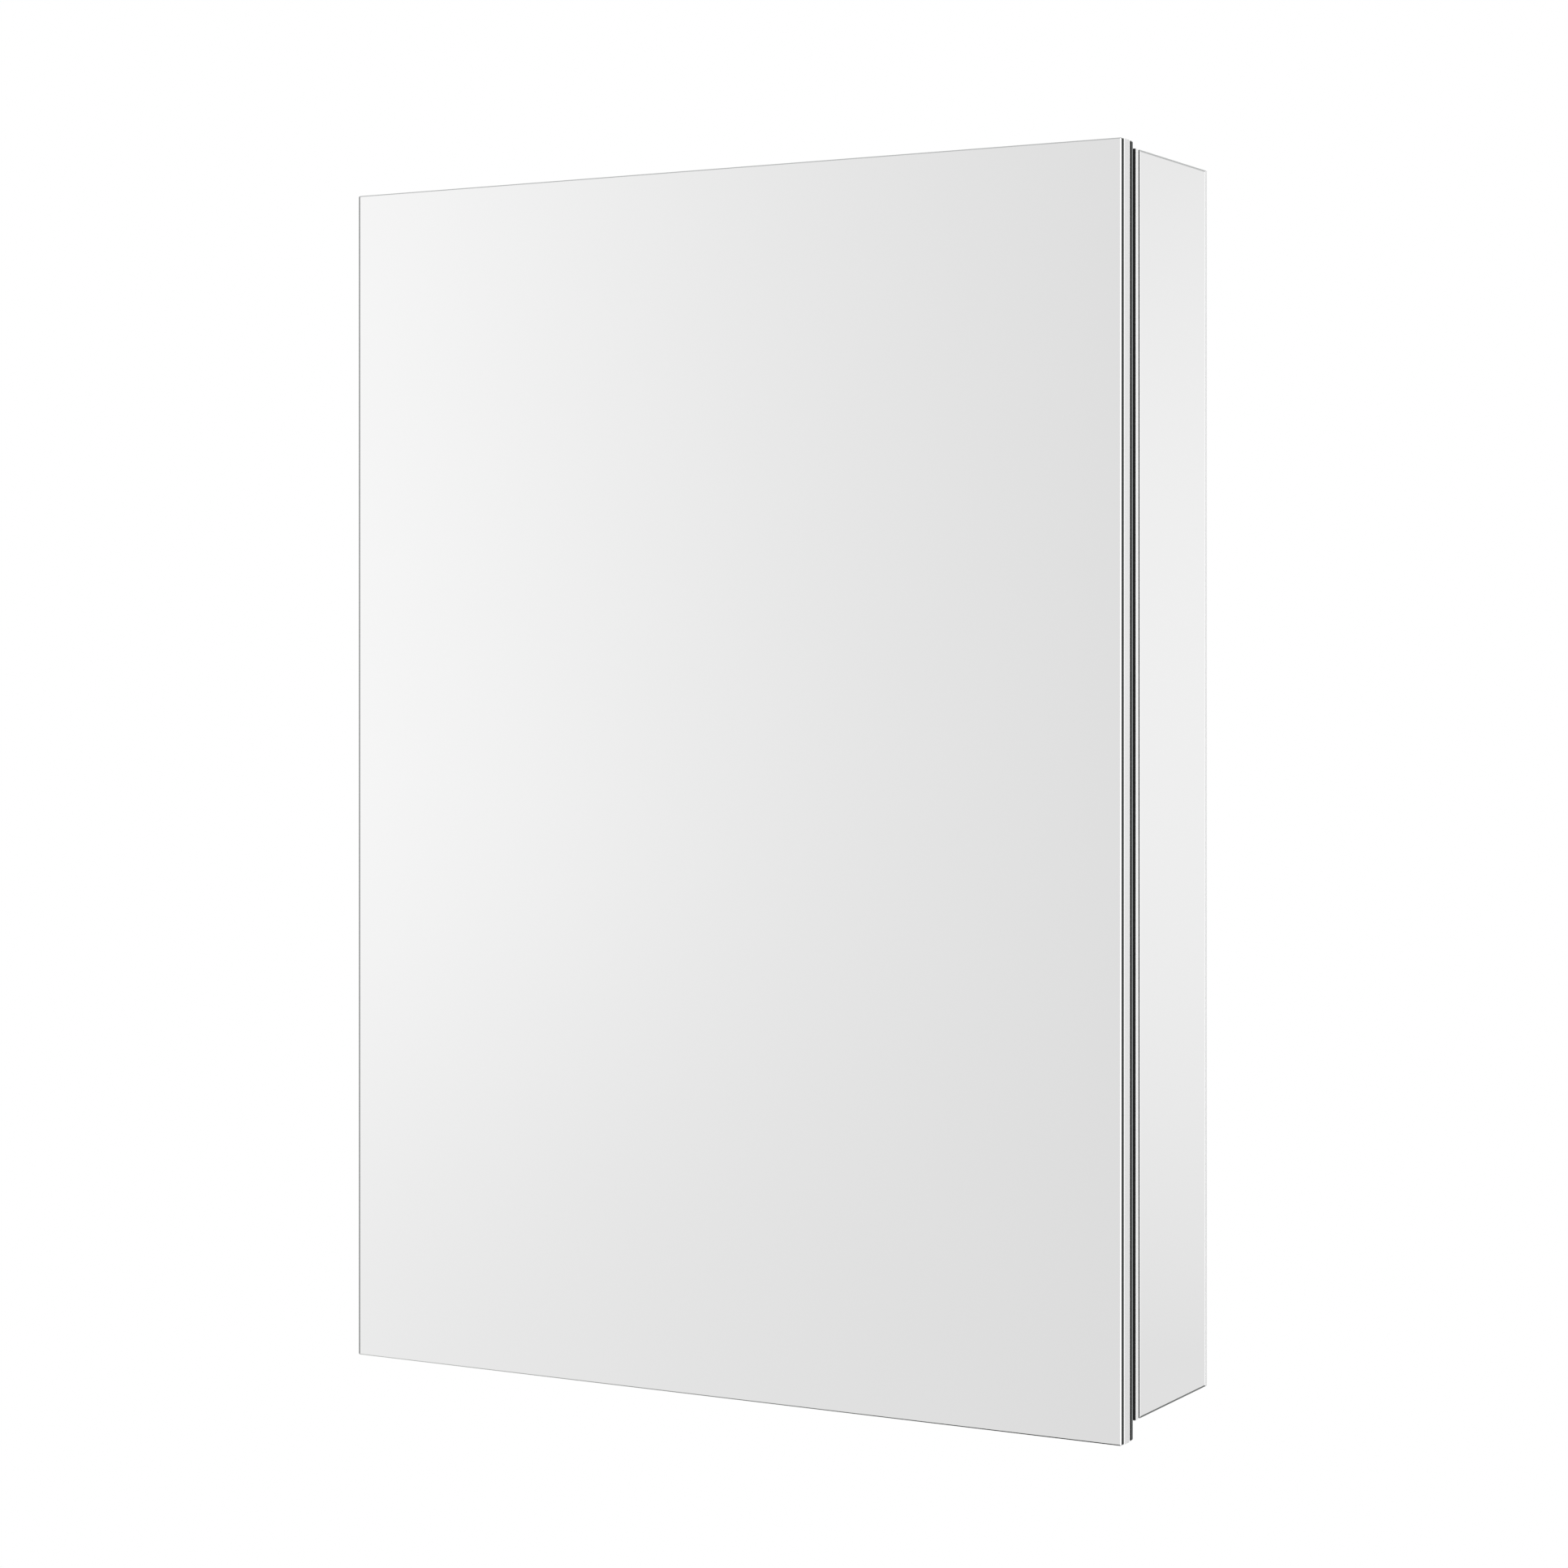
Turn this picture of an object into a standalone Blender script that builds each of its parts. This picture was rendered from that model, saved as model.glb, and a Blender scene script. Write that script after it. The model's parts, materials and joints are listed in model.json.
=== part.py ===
"""Mirror medicine cabinet, wall mounted, one hinged double-sided mirror door.

Run with:  blender --background --python part.py
Units are metres, +Z is up.  The origin lies on the wall face of the back panel, half
way across, at half the height of the door.  The front faces -Y.  The door is hung on
the -X side.  Depths called "v" are measured backwards from the front face of the door
and insets called "u" are measured inwards from the hinge-side edge of the door.
"""
import math

import bmesh
import bpy
from mathutils import Vector

# ----------------------------------------------------------------------------
# Driving dimensions
# ----------------------------------------------------------------------------
DOOR_W = 0.500            # door width, also the overall width
DOOR_H = 0.700            # door height, also the overall height
DEPTH = 0.1225            # wall face to front face of the door
GAP = 0.0003              # assembly gap between touching pieces

GLASS_T = 0.004           # front mirror of the door
GLASS_ARRIS = 0.0008      # ground chamfer round the front mirror
FRAME_V0 = GLASS_T + GAP  # door frame bars, front
FRAME_V1 = 0.0120         # door frame bars, back
STILE_V1 = 0.0153         # rear face of the hinge stile
BACK_GLASS_T = 0.004      # back mirror of the door
BACK_GLASS_ARRIS = 0.0003
BACK_GLASS_LAP = 0.0010   # gap between the back mirror and the hinge stile's rear rib
BAR_W = 0.018             # width of the free stile and of the rails
HINGE_STILE_W = 0.044     # width of the hinge stile
STILE_CHAMFER = 0.0012    # rear outer corner of the hinge stile, cut away for the swing
STILE_FACET = 0.00035     # middle facet of that corner
KEY_V = (0.0060, 0.0100)  # connecting keys in the ends of the frame bars
KEY_HALF_L = 0.0140
KEY_HALF_H = 0.0050
KEY_Z = DOOR_H / 2 - BAR_W / 2
FREE_JOINT_X = DOOR_W / 2 - BAR_W
HINGE_JOINT_X = -DOOR_W / 2 + HINGE_STILE_W

BODY_HALF_W = 0.2495      # outer side faces of the body
BODY_TOP = 0.3467         # top of the body
BODY_BOTTOM = -0.3403     # bottom of the body: the door hangs lower, as finger pull
BODY_V0 = 0.0213          # front face of the body lips
LIP_V1 = 0.0248           # back of the body's front lips
LIP_CHAMFER = 0.0003      # front corner of the lips
REAR_LIP_V0 = 0.1209      # front of the body's rear lips, which run back to the wall
WALL_IN = 0.2325          # inner faces of the side walls
WALL_OUT = 0.2452         # outer faces of the side walls, behind the side mirrors
DECK_T = 0.008            # top and bottom panel thickness
SIDE_GLASS_T = 0.004      # side mirrors
SIDE_GLASS_V0 = 0.0269    # front edge of the side mirrors
SIDE_GLASS_V1 = REAR_LIP_V0 - GAP   # rear edge of the side mirrors
SIDE_GLASS_ARRIS = 0.0004
CHAMBERS = ((0.0270, 0.0500), (0.0580, 0.0880), (0.0960, 0.1190))
CHAMBER_IN = 0.2345       # hollow chambers of the side walls, inner face
CHAMBER_OUT = 0.2432      # hollow chambers of the side walls, outer face
BODY_SCREW_X = 0.2388     # assembly screws, distance from the middle
BODY_SCREW_V = 0.0540     # assembly screws, in the web between two chambers
BODY_SCREW_L = 0.0240
BODY_SCREW_HEAD_R = 0.0031
BODY_SCREW_SINK = 0.0020  # depth of the countersink
BODY_SCREW_HOLE_L = 0.0180  # depth of its hole in the side wall
HEAD_SUNK = 0.0002        # countersunk heads lie this far below the face
SCREW_TIP = 0.0005        # blunt point of a screw
WALL_HOLE_L = 0.0040      # holes for studs and screws in the side walls

SEAL_V0 = 0.0166          # dust seal, face towards the door
SEAL_W = 0.0040           # dust seal, width
SEAL_FREE_X = 0.2495      # dust seal, outer edge on the free side
SEAL_HINGE_X = -0.2375    # dust seal, outer edge on the hinge side
SEAL_INSET_Z = 0.0002     # dust seal, distance to the body's top and bottom faces

BACK_PANEL_T = 0.0015     # sheet back panel
BACK_MIRROR_T = 0.003     # mirror inside the cabinet
BACK_MIRROR_HALF_W = 0.2315
BACK_MIRROR_GAP = 0.0010  # above and below the mirror inside the cabinet
FIXING_POINTS = ((-0.190, 0.300), (0.190, 0.300), (-0.190, -0.292), (0.190, -0.292))
WALL_SCREW_R = 0.0030     # wall screw holes in the back panel
BUSH_HOLE_R = 0.0070      # bush holes in the mirror inside the cabinet
BUSH_R = 0.0066           # shank of a bush
BUSH_FLANGE_R = 0.0095
BUSH_BORE_R = 0.0026
BUSH_SINK_R = 0.0048      # dish round the bore
BUSH_SINK_L = 0.0020      # length of the bore behind the dish
BUSH_RIM_T = 0.0015       # thickness of the flange at its edge
BUSH_FLANGE_T = 0.0023    # and at its face

SHELF_T = 0.006           # tempered glass shelves
SHELF_HALF_W = 0.2312
SHELF_Y0 = -0.0930        # front edge of the shelves
SHELF_Y1 = -0.0105        # rear edge of the shelves
SHELF_Z = (0.1150, -0.1130)   # top faces of the shelves
SHELF_EDGE = 0.0006
SUPPORT_Y = (-0.0790, -0.0230)
SUPPORT_R = 0.0040        # shelf supports: a stud with a thinner tail in the wall
SUPPORT_TAIL_R = 0.0025
SUPPORT_HOLE_R = 0.0028
SUPPORT_REACH = 0.0085    # how far a support stands out of the wall
SUPPORT_L = 0.0100
SUPPORT_EDGE = 0.0006     # chamfer at the tip

CATCH_V = (0.0179, 0.0420)    # magnet catch
CATCH_T = 0.0110
CATCH_HALF_H = 0.0200
CATCH_EDGE = 0.0006
STRIKE_V = (0.0166, 0.0175)   # strike plate on the back mirror of the door
STRIKE_HALF_H = 0.0190
STRIKE_EDGE = 0.0003

HINGE_Z = (0.250, -0.250)
PIVOT_U = 0.0070          # hinge axis, inwards from the hinge-side edge of the door
PIVOT_V = 0.0090          # hinge axis, back from the front face of the door
PIN_R = 0.00125           # hinge pin radius
PIN_HOLE_R = 0.00155
EYE_R = 0.0025            # eye at the tip of the arm
ARM_T = 0.0025            # arm plate thickness
ARM_HALF_H = 0.0080       # arm half width along the hinge axis
EYE_STEPS = 14            # facets of the eye
CUP_U = (0.0023, 0.0249)  # cup of the hinge
CUP_V = (0.0052, 0.0152)
CUP_HALF_H = 0.0247       # cup with its two ears
CUP_BODY_HALF_H = 0.0109  # cup without the ears
CUP_WELL_U = (0.0037, 0.0235)
CUP_WELL_V0 = 0.0061      # floor of the cup's well
CUP_WELL_HALF_H = 0.0084
EAR_V0 = 0.0138           # front face of the ears
EAR_SCREW_U = 0.0136
EAR_SCREW_DZ = 0.0178
EAR_SCREW_V0 = 0.0068     # tip of an ear screw
EAR_HEAD_V = (0.0140, 0.0152)   # its countersunk head
EAR_SINK_V = (0.0139, 0.0154)   # the countersink in the ear
PIN_HALF_L = 0.0106
PLATE_U = (0.0178, 0.0210)    # mounting plate on the side wall
PLATE_V = (0.0290, 0.0600)
PLATE_HALF_H = 0.0220
PLATE_EDGE = 0.0005
PLATE_SCREW_V = 0.0400
PLATE_SCREW_DZ = 0.0160
PLATE_HEAD_U = 0.0229     # outer faces of the screw heads
PLATE_HEAD_T = 0.0016
PLATE_SCREW_L = 0.0085    # without its tip
CLAMP_SCREW_V = 0.0500
CLAMP_HEAD_U = 0.0259
CLAMP_HEAD_T = 0.0018
CLAMP_SCREW_L = 0.0075
CLAMP_HEAD_R = 0.0038
SCREW_R = 0.0015
SCREW_HOLE_R = 0.0018
HEAD_R = 0.0034           # screw heads
HEAD_EDGE = 0.0004
THROUGH = 0.0400          # length of a cutter that goes right through
OVERCUT = 0.0100          # how far a cutter stands out of the face that it opens
LEAD = 0.0010             # the same for the short cutters of blind holes
SEG = 20                  # sides of round pieces


# ----------------------------------------------------------------------------
# Helpers
# ----------------------------------------------------------------------------
def clear_scene():
    for ob in list(bpy.data.objects):
        bpy.data.objects.remove(ob, do_unlink=True)
    for me in list(bpy.data.meshes):
        if me.users == 0:
            bpy.data.meshes.remove(me)


def at_u(u):
    """World X of an inset measured from the hinge-side edge of the door."""
    return -DOOR_W / 2 + u


def at_v(v):
    """World Y of a depth measured back from the front face of the door."""
    return -DEPTH + v


def material(name, color, metallic, roughness):
    mat = bpy.data.materials.new(name)
    mat.use_nodes = True
    shader = mat.node_tree.nodes["Principled BSDF"]
    shader.inputs["Base Color"].default_value = (color[0], color[1], color[2], 1.0)
    shader.inputs["Metallic"].default_value = metallic
    shader.inputs["Roughness"].default_value = roughness
    return mat


LOOKS = {
    "mirror": ((0.86, 0.88, 0.89), 1.0, 0.03),
    "aluminium": ((0.78, 0.79, 0.80), 1.0, 0.32),
    "steel": ((0.62, 0.63, 0.64), 1.0, 0.28),
    "zinc": ((0.55, 0.56, 0.57), 1.0, 0.35),
    "glass": ((0.80, 0.90, 0.88), 0.0, 0.05),
    "rubber": ((0.02, 0.02, 0.02), 0.0, 0.70),
    "board": ((0.62, 0.50, 0.36), 0.0, 0.90),
    "plastic": ((0.85, 0.85, 0.85), 0.0, 0.45),
    "painted": ((0.80, 0.81, 0.82), 0.0, 0.50),
    "magnet": ((0.10, 0.10, 0.11), 0.0, 0.50),
}


def new_object(name, bm, look, smooth=False, origin=None):
    """Turn a bmesh in world coordinates into a named object with its own material."""
    bmesh.ops.remove_doubles(bm, verts=bm.verts, dist=1e-7)
    bmesh.ops.recalc_face_normals(bm, faces=bm.faces)
    mesh = bpy.data.meshes.new(name)
    bm.to_mesh(mesh)
    bm.free()
    if origin is not None:
        for vert in mesh.vertices:
            vert.co -= Vector(origin)
    ob = bpy.data.objects.new(name, mesh)
    if origin is not None:
        ob.location = origin
    bpy.context.scene.collection.objects.link(ob)
    color, metallic, roughness = LOOKS[look]
    mesh.materials.append(material("mat_" + name, color, metallic, roughness))
    if smooth:
        shade_round(ob)
    return ob


def shade_round(ob):
    """Smooth shading with sharp edges kept above 35 degrees."""
    for poly in ob.data.polygons:
        poly.use_smooth = True
    bm = bmesh.new()
    bm.from_mesh(ob.data)
    for edge in bm.edges:
        if len(edge.link_faces) == 2:
            edge.smooth = edge.calc_face_angle(0.0) < math.radians(35)
    bm.to_mesh(ob.data)
    bm.free()


def box_mesh(x0, x1, y0, y1, z0, z1):
    bm = bmesh.new()
    bmesh.ops.create_cube(bm, size=1.0)
    for vert in bm.verts:
        vert.co.x = x1 if vert.co.x > 0 else x0
        vert.co.y = y1 if vert.co.y > 0 else y0
        vert.co.z = z1 if vert.co.z > 0 else z0
    return bm


def box(name, xr, yr, zr, look, bevel=0.0, origin=None):
    bm = box_mesh(xr[0], xr[1], yr[0], yr[1], zr[0], zr[1])
    if bevel > 0:
        bmesh.ops.bevel(bm, geom=list(bm.edges), offset=bevel, segments=1,
                        affect='EDGES', profile=0.5)
    return new_object(name, bm, look, origin=origin)


def prism_mesh(points, axis, a, b):
    """Extrude a closed outline from a to b along an axis (0, 1 or 2).

    The outline is given in the two other axes, in the order (x, y), (x, z) or (y, z).
    """
    bm = bmesh.new()
    rings = []
    for level in (a, b):
        ring = []
        for p, q in points:
            co = [p, q]
            co.insert(axis, level)
            ring.append(bm.verts.new(co))
        rings.append(ring)
    count = len(points)
    bm.faces.new(rings[0])
    bm.faces.new(list(reversed(rings[1])))
    for i in range(count):
        j = (i + 1) % count
        bm.faces.new((rings[0][i], rings[0][j], rings[1][j], rings[1][i]))
    return bm


def prism(name, points, axis, a, b, look, smooth=False, origin=None):
    return new_object(name, prism_mesh(points, axis, a, b), look, smooth, origin)


def lathe_mesh(profile, axis, sign, start, seg=SEG):
    """Turn a profile of (radius, distance) about an axis through the point start."""
    bm = bmesh.new()
    others = [k for k in range(3) if k != axis]
    rings = []
    for radius, dist in profile:
        base = list(start)
        base[axis] += sign * dist
        if radius < 1e-9:
            rings.append([bm.verts.new(base)])
            continue
        ring = []
        for i in range(seg):
            ang = 2 * math.pi * i / seg
            co = list(base)
            co[others[0]] += radius * math.cos(ang)
            co[others[1]] += radius * math.sin(ang)
            ring.append(bm.verts.new(co))
        rings.append(ring)
    closed = profile[0] == profile[-1]
    if closed:
        rings[-1] = rings[0]
    for low, high in zip(rings, rings[1:]):
        for i in range(seg):
            j = (i + 1) % seg
            if len(low) == 1 and len(high) == 1:
                continue
            if len(low) == 1:
                bm.faces.new((low[0], high[j], high[i]))
            elif len(high) == 1:
                bm.faces.new((low[i], low[j], high[0]))
            else:
                bm.faces.new((low[i], low[j], high[j], high[i]))
    loose = [v for v in bm.verts if not v.link_faces]
    bmesh.ops.delete(bm, geom=loose, context='VERTS')
    return bm


def lathe(name, profile, axis, sign, start, look, origin=None, seg=SEG):
    return new_object(name, lathe_mesh(profile, axis, sign, start, seg), look, True, origin)


def cut(ob, bm):
    """Subtract a bmesh from an object, through an exact Boolean with a hidden cutter."""
    bmesh.ops.recalc_face_normals(bm, faces=bm.faces)
    mesh = bpy.data.meshes.new("cutter")
    bm.to_mesh(mesh)
    bm.free()
    cutter = bpy.data.objects.new("cutter_" + ob.name, mesh)
    cutter.hide_render = True
    cutter.display_type = 'WIRE'
    bpy.context.scene.collection.objects.link(cutter)
    mod = ob.modifiers.new("cut", 'BOOLEAN')
    mod.operation = 'DIFFERENCE'
    mod.solver = 'EXACT'
    mod.object = cutter
    bpy.context.view_layer.update()
    graph = bpy.context.evaluated_depsgraph_get()
    result = bpy.data.meshes.new_from_object(ob.evaluated_get(graph))
    old = ob.data
    smooth = any(p.use_smooth for p in old.polygons)
    ob.modifiers.clear()
    ob.data = result
    bpy.data.objects.remove(cutter, do_unlink=True)
    bpy.data.meshes.remove(mesh)
    name = old.name
    bpy.data.meshes.remove(old)
    result.name = name
    if smooth:
        shade_round(ob)


def cut_box(ob, xr, yr, zr):
    cut(ob, box_mesh(xr[0], xr[1], yr[0], yr[1], zr[0], zr[1]))


def cut_hole(ob, radius, axis, sign, start, length, seg=SEG):
    profile = ((0.0, 0.0), (radius, 0.0), (radius, length), (0.0, length))
    cut(ob, lathe_mesh(profile, axis, sign, start, seg))


# ----------------------------------------------------------------------------
# Cabinet body
# ----------------------------------------------------------------------------
def side_wall(side):
    """Hollow aluminium side wall with lips in front of and behind the side mirror.

    The lips run the full height; between them the panels lie on the ends of the wall.
    """
    s = -1 if side == "left" else 1
    outline = (
        (s * WALL_IN, at_v(BODY_V0)),
        (s * (BODY_HALF_W - LIP_CHAMFER), at_v(BODY_V0)),
        (s * BODY_HALF_W, at_v(BODY_V0 + LIP_CHAMFER)),
        (s * BODY_HALF_W, at_v(LIP_V1)),
        (s * WALL_OUT, at_v(LIP_V1)),
        (s * WALL_OUT, at_v(REAR_LIP_V0)),
        (s * BODY_HALF_W, at_v(REAR_LIP_V0)),
        (s * BODY_HALF_W, 0.0),
        (s * WALL_IN, 0.0),
    )
    z0 = BODY_BOTTOM + DECK_T + GAP
    z1 = BODY_TOP - DECK_T - GAP
    ob = prism("side_wall_" + side, outline, 2, BODY_BOTTOM, BODY_TOP, "aluminium")
    xs = sorted((s * (WALL_IN - OVERCUT), s * WALL_OUT))
    for zs in ((BODY_BOTTOM - OVERCUT, z0), (z1, BODY_TOP + OVERCUT)):
        cut_box(ob, xs, (at_v(BODY_V0) - OVERCUT, OVERCUT), zs)
    for v0, v1 in CHAMBERS:
        xs = sorted((s * CHAMBER_IN, s * CHAMBER_OUT))
        cut_box(ob, xs, (at_v(v0), at_v(v1)), (z0 - OVERCUT, z1 + OVERCUT))
    start_x = s * (WALL_IN - LEAD)
    depth = LEAD + WALL_HOLE_L
    for z in SHELF_Z:
        for y in SUPPORT_Y:
            start = (start_x, y, z - SHELF_T - GAP - SUPPORT_R)
            cut_hole(ob, SUPPORT_HOLE_R, 0, s, start, depth)
    if side == "left":
        for z in HINGE_Z:
            for dz in (PLATE_SCREW_DZ, -PLATE_SCREW_DZ):
                cut_hole(ob, SCREW_HOLE_R, 0, s, (start_x, at_v(PLATE_SCREW_V), z + dz), depth)
    for sz, z in ((1, z1), (-1, z0)):
        start = (s * BODY_SCREW_X, at_v(BODY_SCREW_V), z + sz * LEAD)
        cut_hole(ob, SCREW_HOLE_R, 2, -sz, start, LEAD + BODY_SCREW_HOLE_L)


def deck(name, z0, z1, up):
    """Top or bottom panel: it lies on the ends of the side walls, between their lips."""
    half = WALL_OUT - GAP
    ob = box(name, (-half, half), (at_v(BODY_V0), 0.0), (z0, z1), "aluminium")
    outer = z1 if up > 0 else z0
    for s in (-1, 1):
        profile = ((0.0, -LEAD), (HEAD_R, -LEAD), (HEAD_R, 0.0),
                   (SCREW_HOLE_R, BODY_SCREW_SINK), (SCREW_HOLE_R, OVERCUT), (0.0, OVERCUT))
        start = (s * BODY_SCREW_X, at_v(BODY_SCREW_V), outer)
        cut(ob, lathe_mesh(profile, 2, -up, start))


def assembly_screws():
    """Countersunk screws that hold the side walls between the top and bottom panels."""
    profile = ((0.0, HEAD_SUNK), (BODY_SCREW_HEAD_R, HEAD_SUNK), (SCREW_R, BODY_SCREW_SINK),
               (SCREW_R, BODY_SCREW_L), (0.0, BODY_SCREW_L + SCREW_TIP))
    for level, z, up in (("top", BODY_TOP, 1), ("bottom", BODY_BOTTOM, -1)):
        for side, s in (("left", -1), ("right", 1)):
            lathe("body_screw_" + level + "_" + side, profile, 2, -up,
                  (s * BODY_SCREW_X, at_v(BODY_SCREW_V), z), "steel")


def side_mirror(side):
    s = -1 if side == "left" else 1
    xs = sorted((s * (BODY_HALF_W - SIDE_GLASS_T), s * BODY_HALF_W))
    box("side_mirror_" + side, xs, (at_v(SIDE_GLASS_V0), at_v(SIDE_GLASS_V1)),
        (BODY_BOTTOM, BODY_TOP), "mirror", SIDE_GLASS_ARRIS)


def back_panel():
    ob = box("back_panel", (-WALL_IN + GAP, WALL_IN - GAP), (-BACK_PANEL_T, 0.0),
             (BODY_BOTTOM + DECK_T + GAP, BODY_TOP - DECK_T - GAP), "painted")
    for x, z in FIXING_POINTS:
        cut_hole(ob, WALL_SCREW_R, 1, 1, (x, -THROUGH / 2, z), THROUGH)


def inner_mirror():
    y1 = -BACK_PANEL_T - GAP
    ob = box("inner_back_mirror", (-BACK_MIRROR_HALF_W, BACK_MIRROR_HALF_W),
             (y1 - BACK_MIRROR_T, y1),
             (BODY_BOTTOM + DECK_T + BACK_MIRROR_GAP, BODY_TOP - DECK_T - BACK_MIRROR_GAP),
             "mirror", SIDE_GLASS_ARRIS)
    for x, z in FIXING_POINTS:
        cut_hole(ob, BUSH_HOLE_R, 1, 1, (x, -THROUGH / 2, z), THROUGH)


def wall_fixings():
    """Flanged bushes in the back through which the wall screws pass."""
    face = -BACK_PANEL_T - GAP
    shank = BACK_MIRROR_T + GAP
    rim = BACK_MIRROR_T + BUSH_RIM_T
    top = BACK_MIRROR_T + BUSH_FLANGE_T
    face_r = BUSH_FLANGE_R - top + rim
    profile = (
        (BUSH_BORE_R, 0.0), (BUSH_R, 0.0), (BUSH_R, shank), (BUSH_FLANGE_R, shank),
        (BUSH_FLANGE_R, rim), (face_r, top), (BUSH_SINK_R, top),
        (BUSH_BORE_R, BUSH_SINK_L), (BUSH_BORE_R, 0.0),
    )
    for i, (x, z) in enumerate(FIXING_POINTS):
        lathe("wall_bush_%d" % (i + 1), profile, 1, -1, (x, face, z), "plastic")


def dust_seal():
    """Closed rubber ring on the front of the body, set inboard on the hinge side."""
    top = BODY_TOP - SEAL_INSET_Z
    bottom = BODY_BOTTOM + SEAL_INSET_Z
    y0 = at_v(SEAL_V0)
    y1 = at_v(BODY_V0 - GAP)
    ob = box("dust_seal", (SEAL_HINGE_X, SEAL_FREE_X), (y0, y1), (bottom, top), "rubber")
    cut_box(ob, (SEAL_HINGE_X + SEAL_W, SEAL_FREE_X - SEAL_W), (y0 - OVERCUT, y1 + OVERCUT),
            (bottom + SEAL_W, top - SEAL_W))


def shelves():
    """Two glass shelves, each on four studs in the side walls."""
    tail = SUPPORT_REACH - GAP
    profile = ((0.0, 0.0), (SUPPORT_R - SUPPORT_EDGE, 0.0), (SUPPORT_R, SUPPORT_EDGE),
               (SUPPORT_R, tail), (SUPPORT_TAIL_R, tail), (SUPPORT_TAIL_R, SUPPORT_L),
               (0.0, SUPPORT_L))
    for i, z in enumerate(SHELF_Z):
        box("shelf_%d" % (i + 1), (-SHELF_HALF_W, SHELF_HALF_W), (SHELF_Y0, SHELF_Y1),
            (z - SHELF_T, z), "glass", SHELF_EDGE)
        count = 0
        for side in (-1, 1):
            for y in SUPPORT_Y:
                count += 1
                start = (side * (WALL_IN - SUPPORT_REACH), y, z - SHELF_T - GAP - SUPPORT_R)
                lathe("shelf_%d_support_%d" % (i + 1, count), profile, 0, side, start, "steel")


def magnet_catch():
    """Magnet holder on the free-side wall, half way up, behind the door."""
    x1 = WALL_IN - GAP
    box("magnet_catch", (x1 - CATCH_T, x1), (at_v(CATCH_V[0]), at_v(CATCH_V[1])),
        (-CATCH_HALF_H, CATCH_HALF_H), "magnet", CATCH_EDGE)


# ----------------------------------------------------------------------------
# Door
# ----------------------------------------------------------------------------
def door_origin():
    """A point on the hinge axis, used as origin of every piece that swings."""
    return (at_u(PIVOT_U), at_v(PIVOT_V), 0.0)


def door_front_mirror():
    bm = box_mesh(-DOOR_W / 2, DOOR_W / 2, at_v(0.0), at_v(GLASS_T), -DOOR_H / 2, DOOR_H / 2)
    front = at_v(0.0)
    edges = [e for e in bm.edges if all(abs(v.co.y - front) < 1e-6 for v in e.verts)]
    bmesh.ops.bevel(bm, geom=edges, offset=GLASS_ARRIS, segments=1, affect='EDGES', profile=0.5)
    new_object("door_front_mirror", bm, "mirror", origin=door_origin())


def key_pockets(ob, x_mid, zs):
    """Pockets for the connecting keys, about a joint between two frame bars."""
    for z in zs:
        cut_box(ob, (x_mid - KEY_HALF_L - GAP, x_mid + KEY_HALF_L + GAP),
                (at_v(KEY_V[0] - GAP), at_v(KEY_V[1] + GAP)),
                (z - KEY_HALF_H - GAP, z + KEY_HALF_H + GAP))


def cup_recess(stile, z):
    """Recess in the hinge stile for a cup, its ears and its two screws."""
    us = (at_u(CUP_U[0] - GAP), at_u(CUP_U[1] + GAP))
    rear = at_v(STILE_V1) + OVERCUT
    body = CUP_BODY_HALF_H + GAP
    ears = CUP_HALF_H + GAP
    cut_box(stile, us, (at_v(CUP_V[0] - GAP), rear), (z - body, z + body))
    cut_box(stile, us, (at_v(EAR_V0 - GAP), rear), (z - ears, z + ears))
    for dz in (EAR_SCREW_DZ, -EAR_SCREW_DZ):
        start = (at_u(EAR_SCREW_U), at_v(CUP_WELL_V0), z + dz)
        cut_hole(stile, SCREW_HOLE_R, 1, 1, start, OVERCUT)


def door_frame():
    """Two stiles and two rails of aluminium between the two mirrors."""
    half = DOOR_H / 2
    free = box("door_stile_free", (FREE_JOINT_X, DOOR_W / 2), (at_v(FRAME_V0), at_v(FRAME_V1)),
               (-half, half), "aluminium", 0.0, door_origin())
    key_pockets(free, FREE_JOINT_X, (KEY_Z, -KEY_Z))
    rear = at_v(STILE_V1)
    side = -DOOR_W / 2
    outline = (
        (side, at_v(FRAME_V0)),
        (HINGE_JOINT_X, at_v(FRAME_V0)),
        (HINGE_JOINT_X, rear),
        (side + STILE_CHAMFER, rear),
        (side + STILE_FACET, rear - STILE_FACET),
        (side, rear - STILE_CHAMFER),
    )
    stile = prism("door_stile_hinge", outline, 2, -half, half, "aluminium", False,
                  door_origin())
    key_pockets(stile, HINGE_JOINT_X, (KEY_Z, -KEY_Z))
    for z in HINGE_Z:
        cup_recess(stile, z)
    for level, sz in (("top", 1), ("bottom", -1)):
        zs = sorted((sz * half, sz * (half - BAR_W)))
        rail = box("door_rail_" + level, (HINGE_JOINT_X + GAP, FREE_JOINT_X - GAP),
                   (at_v(FRAME_V0), at_v(FRAME_V1)), zs, "aluminium", 0.0, door_origin())
        for x in (HINGE_JOINT_X, FREE_JOINT_X):
            key_pockets(rail, x, (sz * KEY_Z,))


def door_keys():
    """Connecting keys hidden in the ends of the frame bars."""
    for level, z in (("top", KEY_Z), ("bottom", -KEY_Z)):
        for side, x in (("hinge", HINGE_JOINT_X), ("free", FREE_JOINT_X)):
            box("door_key_" + level + "_" + side, (x - KEY_HALF_L, x + KEY_HALF_L),
                (at_v(KEY_V[0]), at_v(KEY_V[1])), (z - KEY_HALF_H, z + KEY_HALF_H), "zinc",
                0.0, door_origin())


def door_core():
    half = DOOR_H / 2 - BAR_W - GAP
    box("door_core", (HINGE_JOINT_X + GAP, FREE_JOINT_X - GAP),
        (at_v(FRAME_V0), at_v(FRAME_V1)), (-half, half), "board", 0.0, door_origin())


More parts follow.
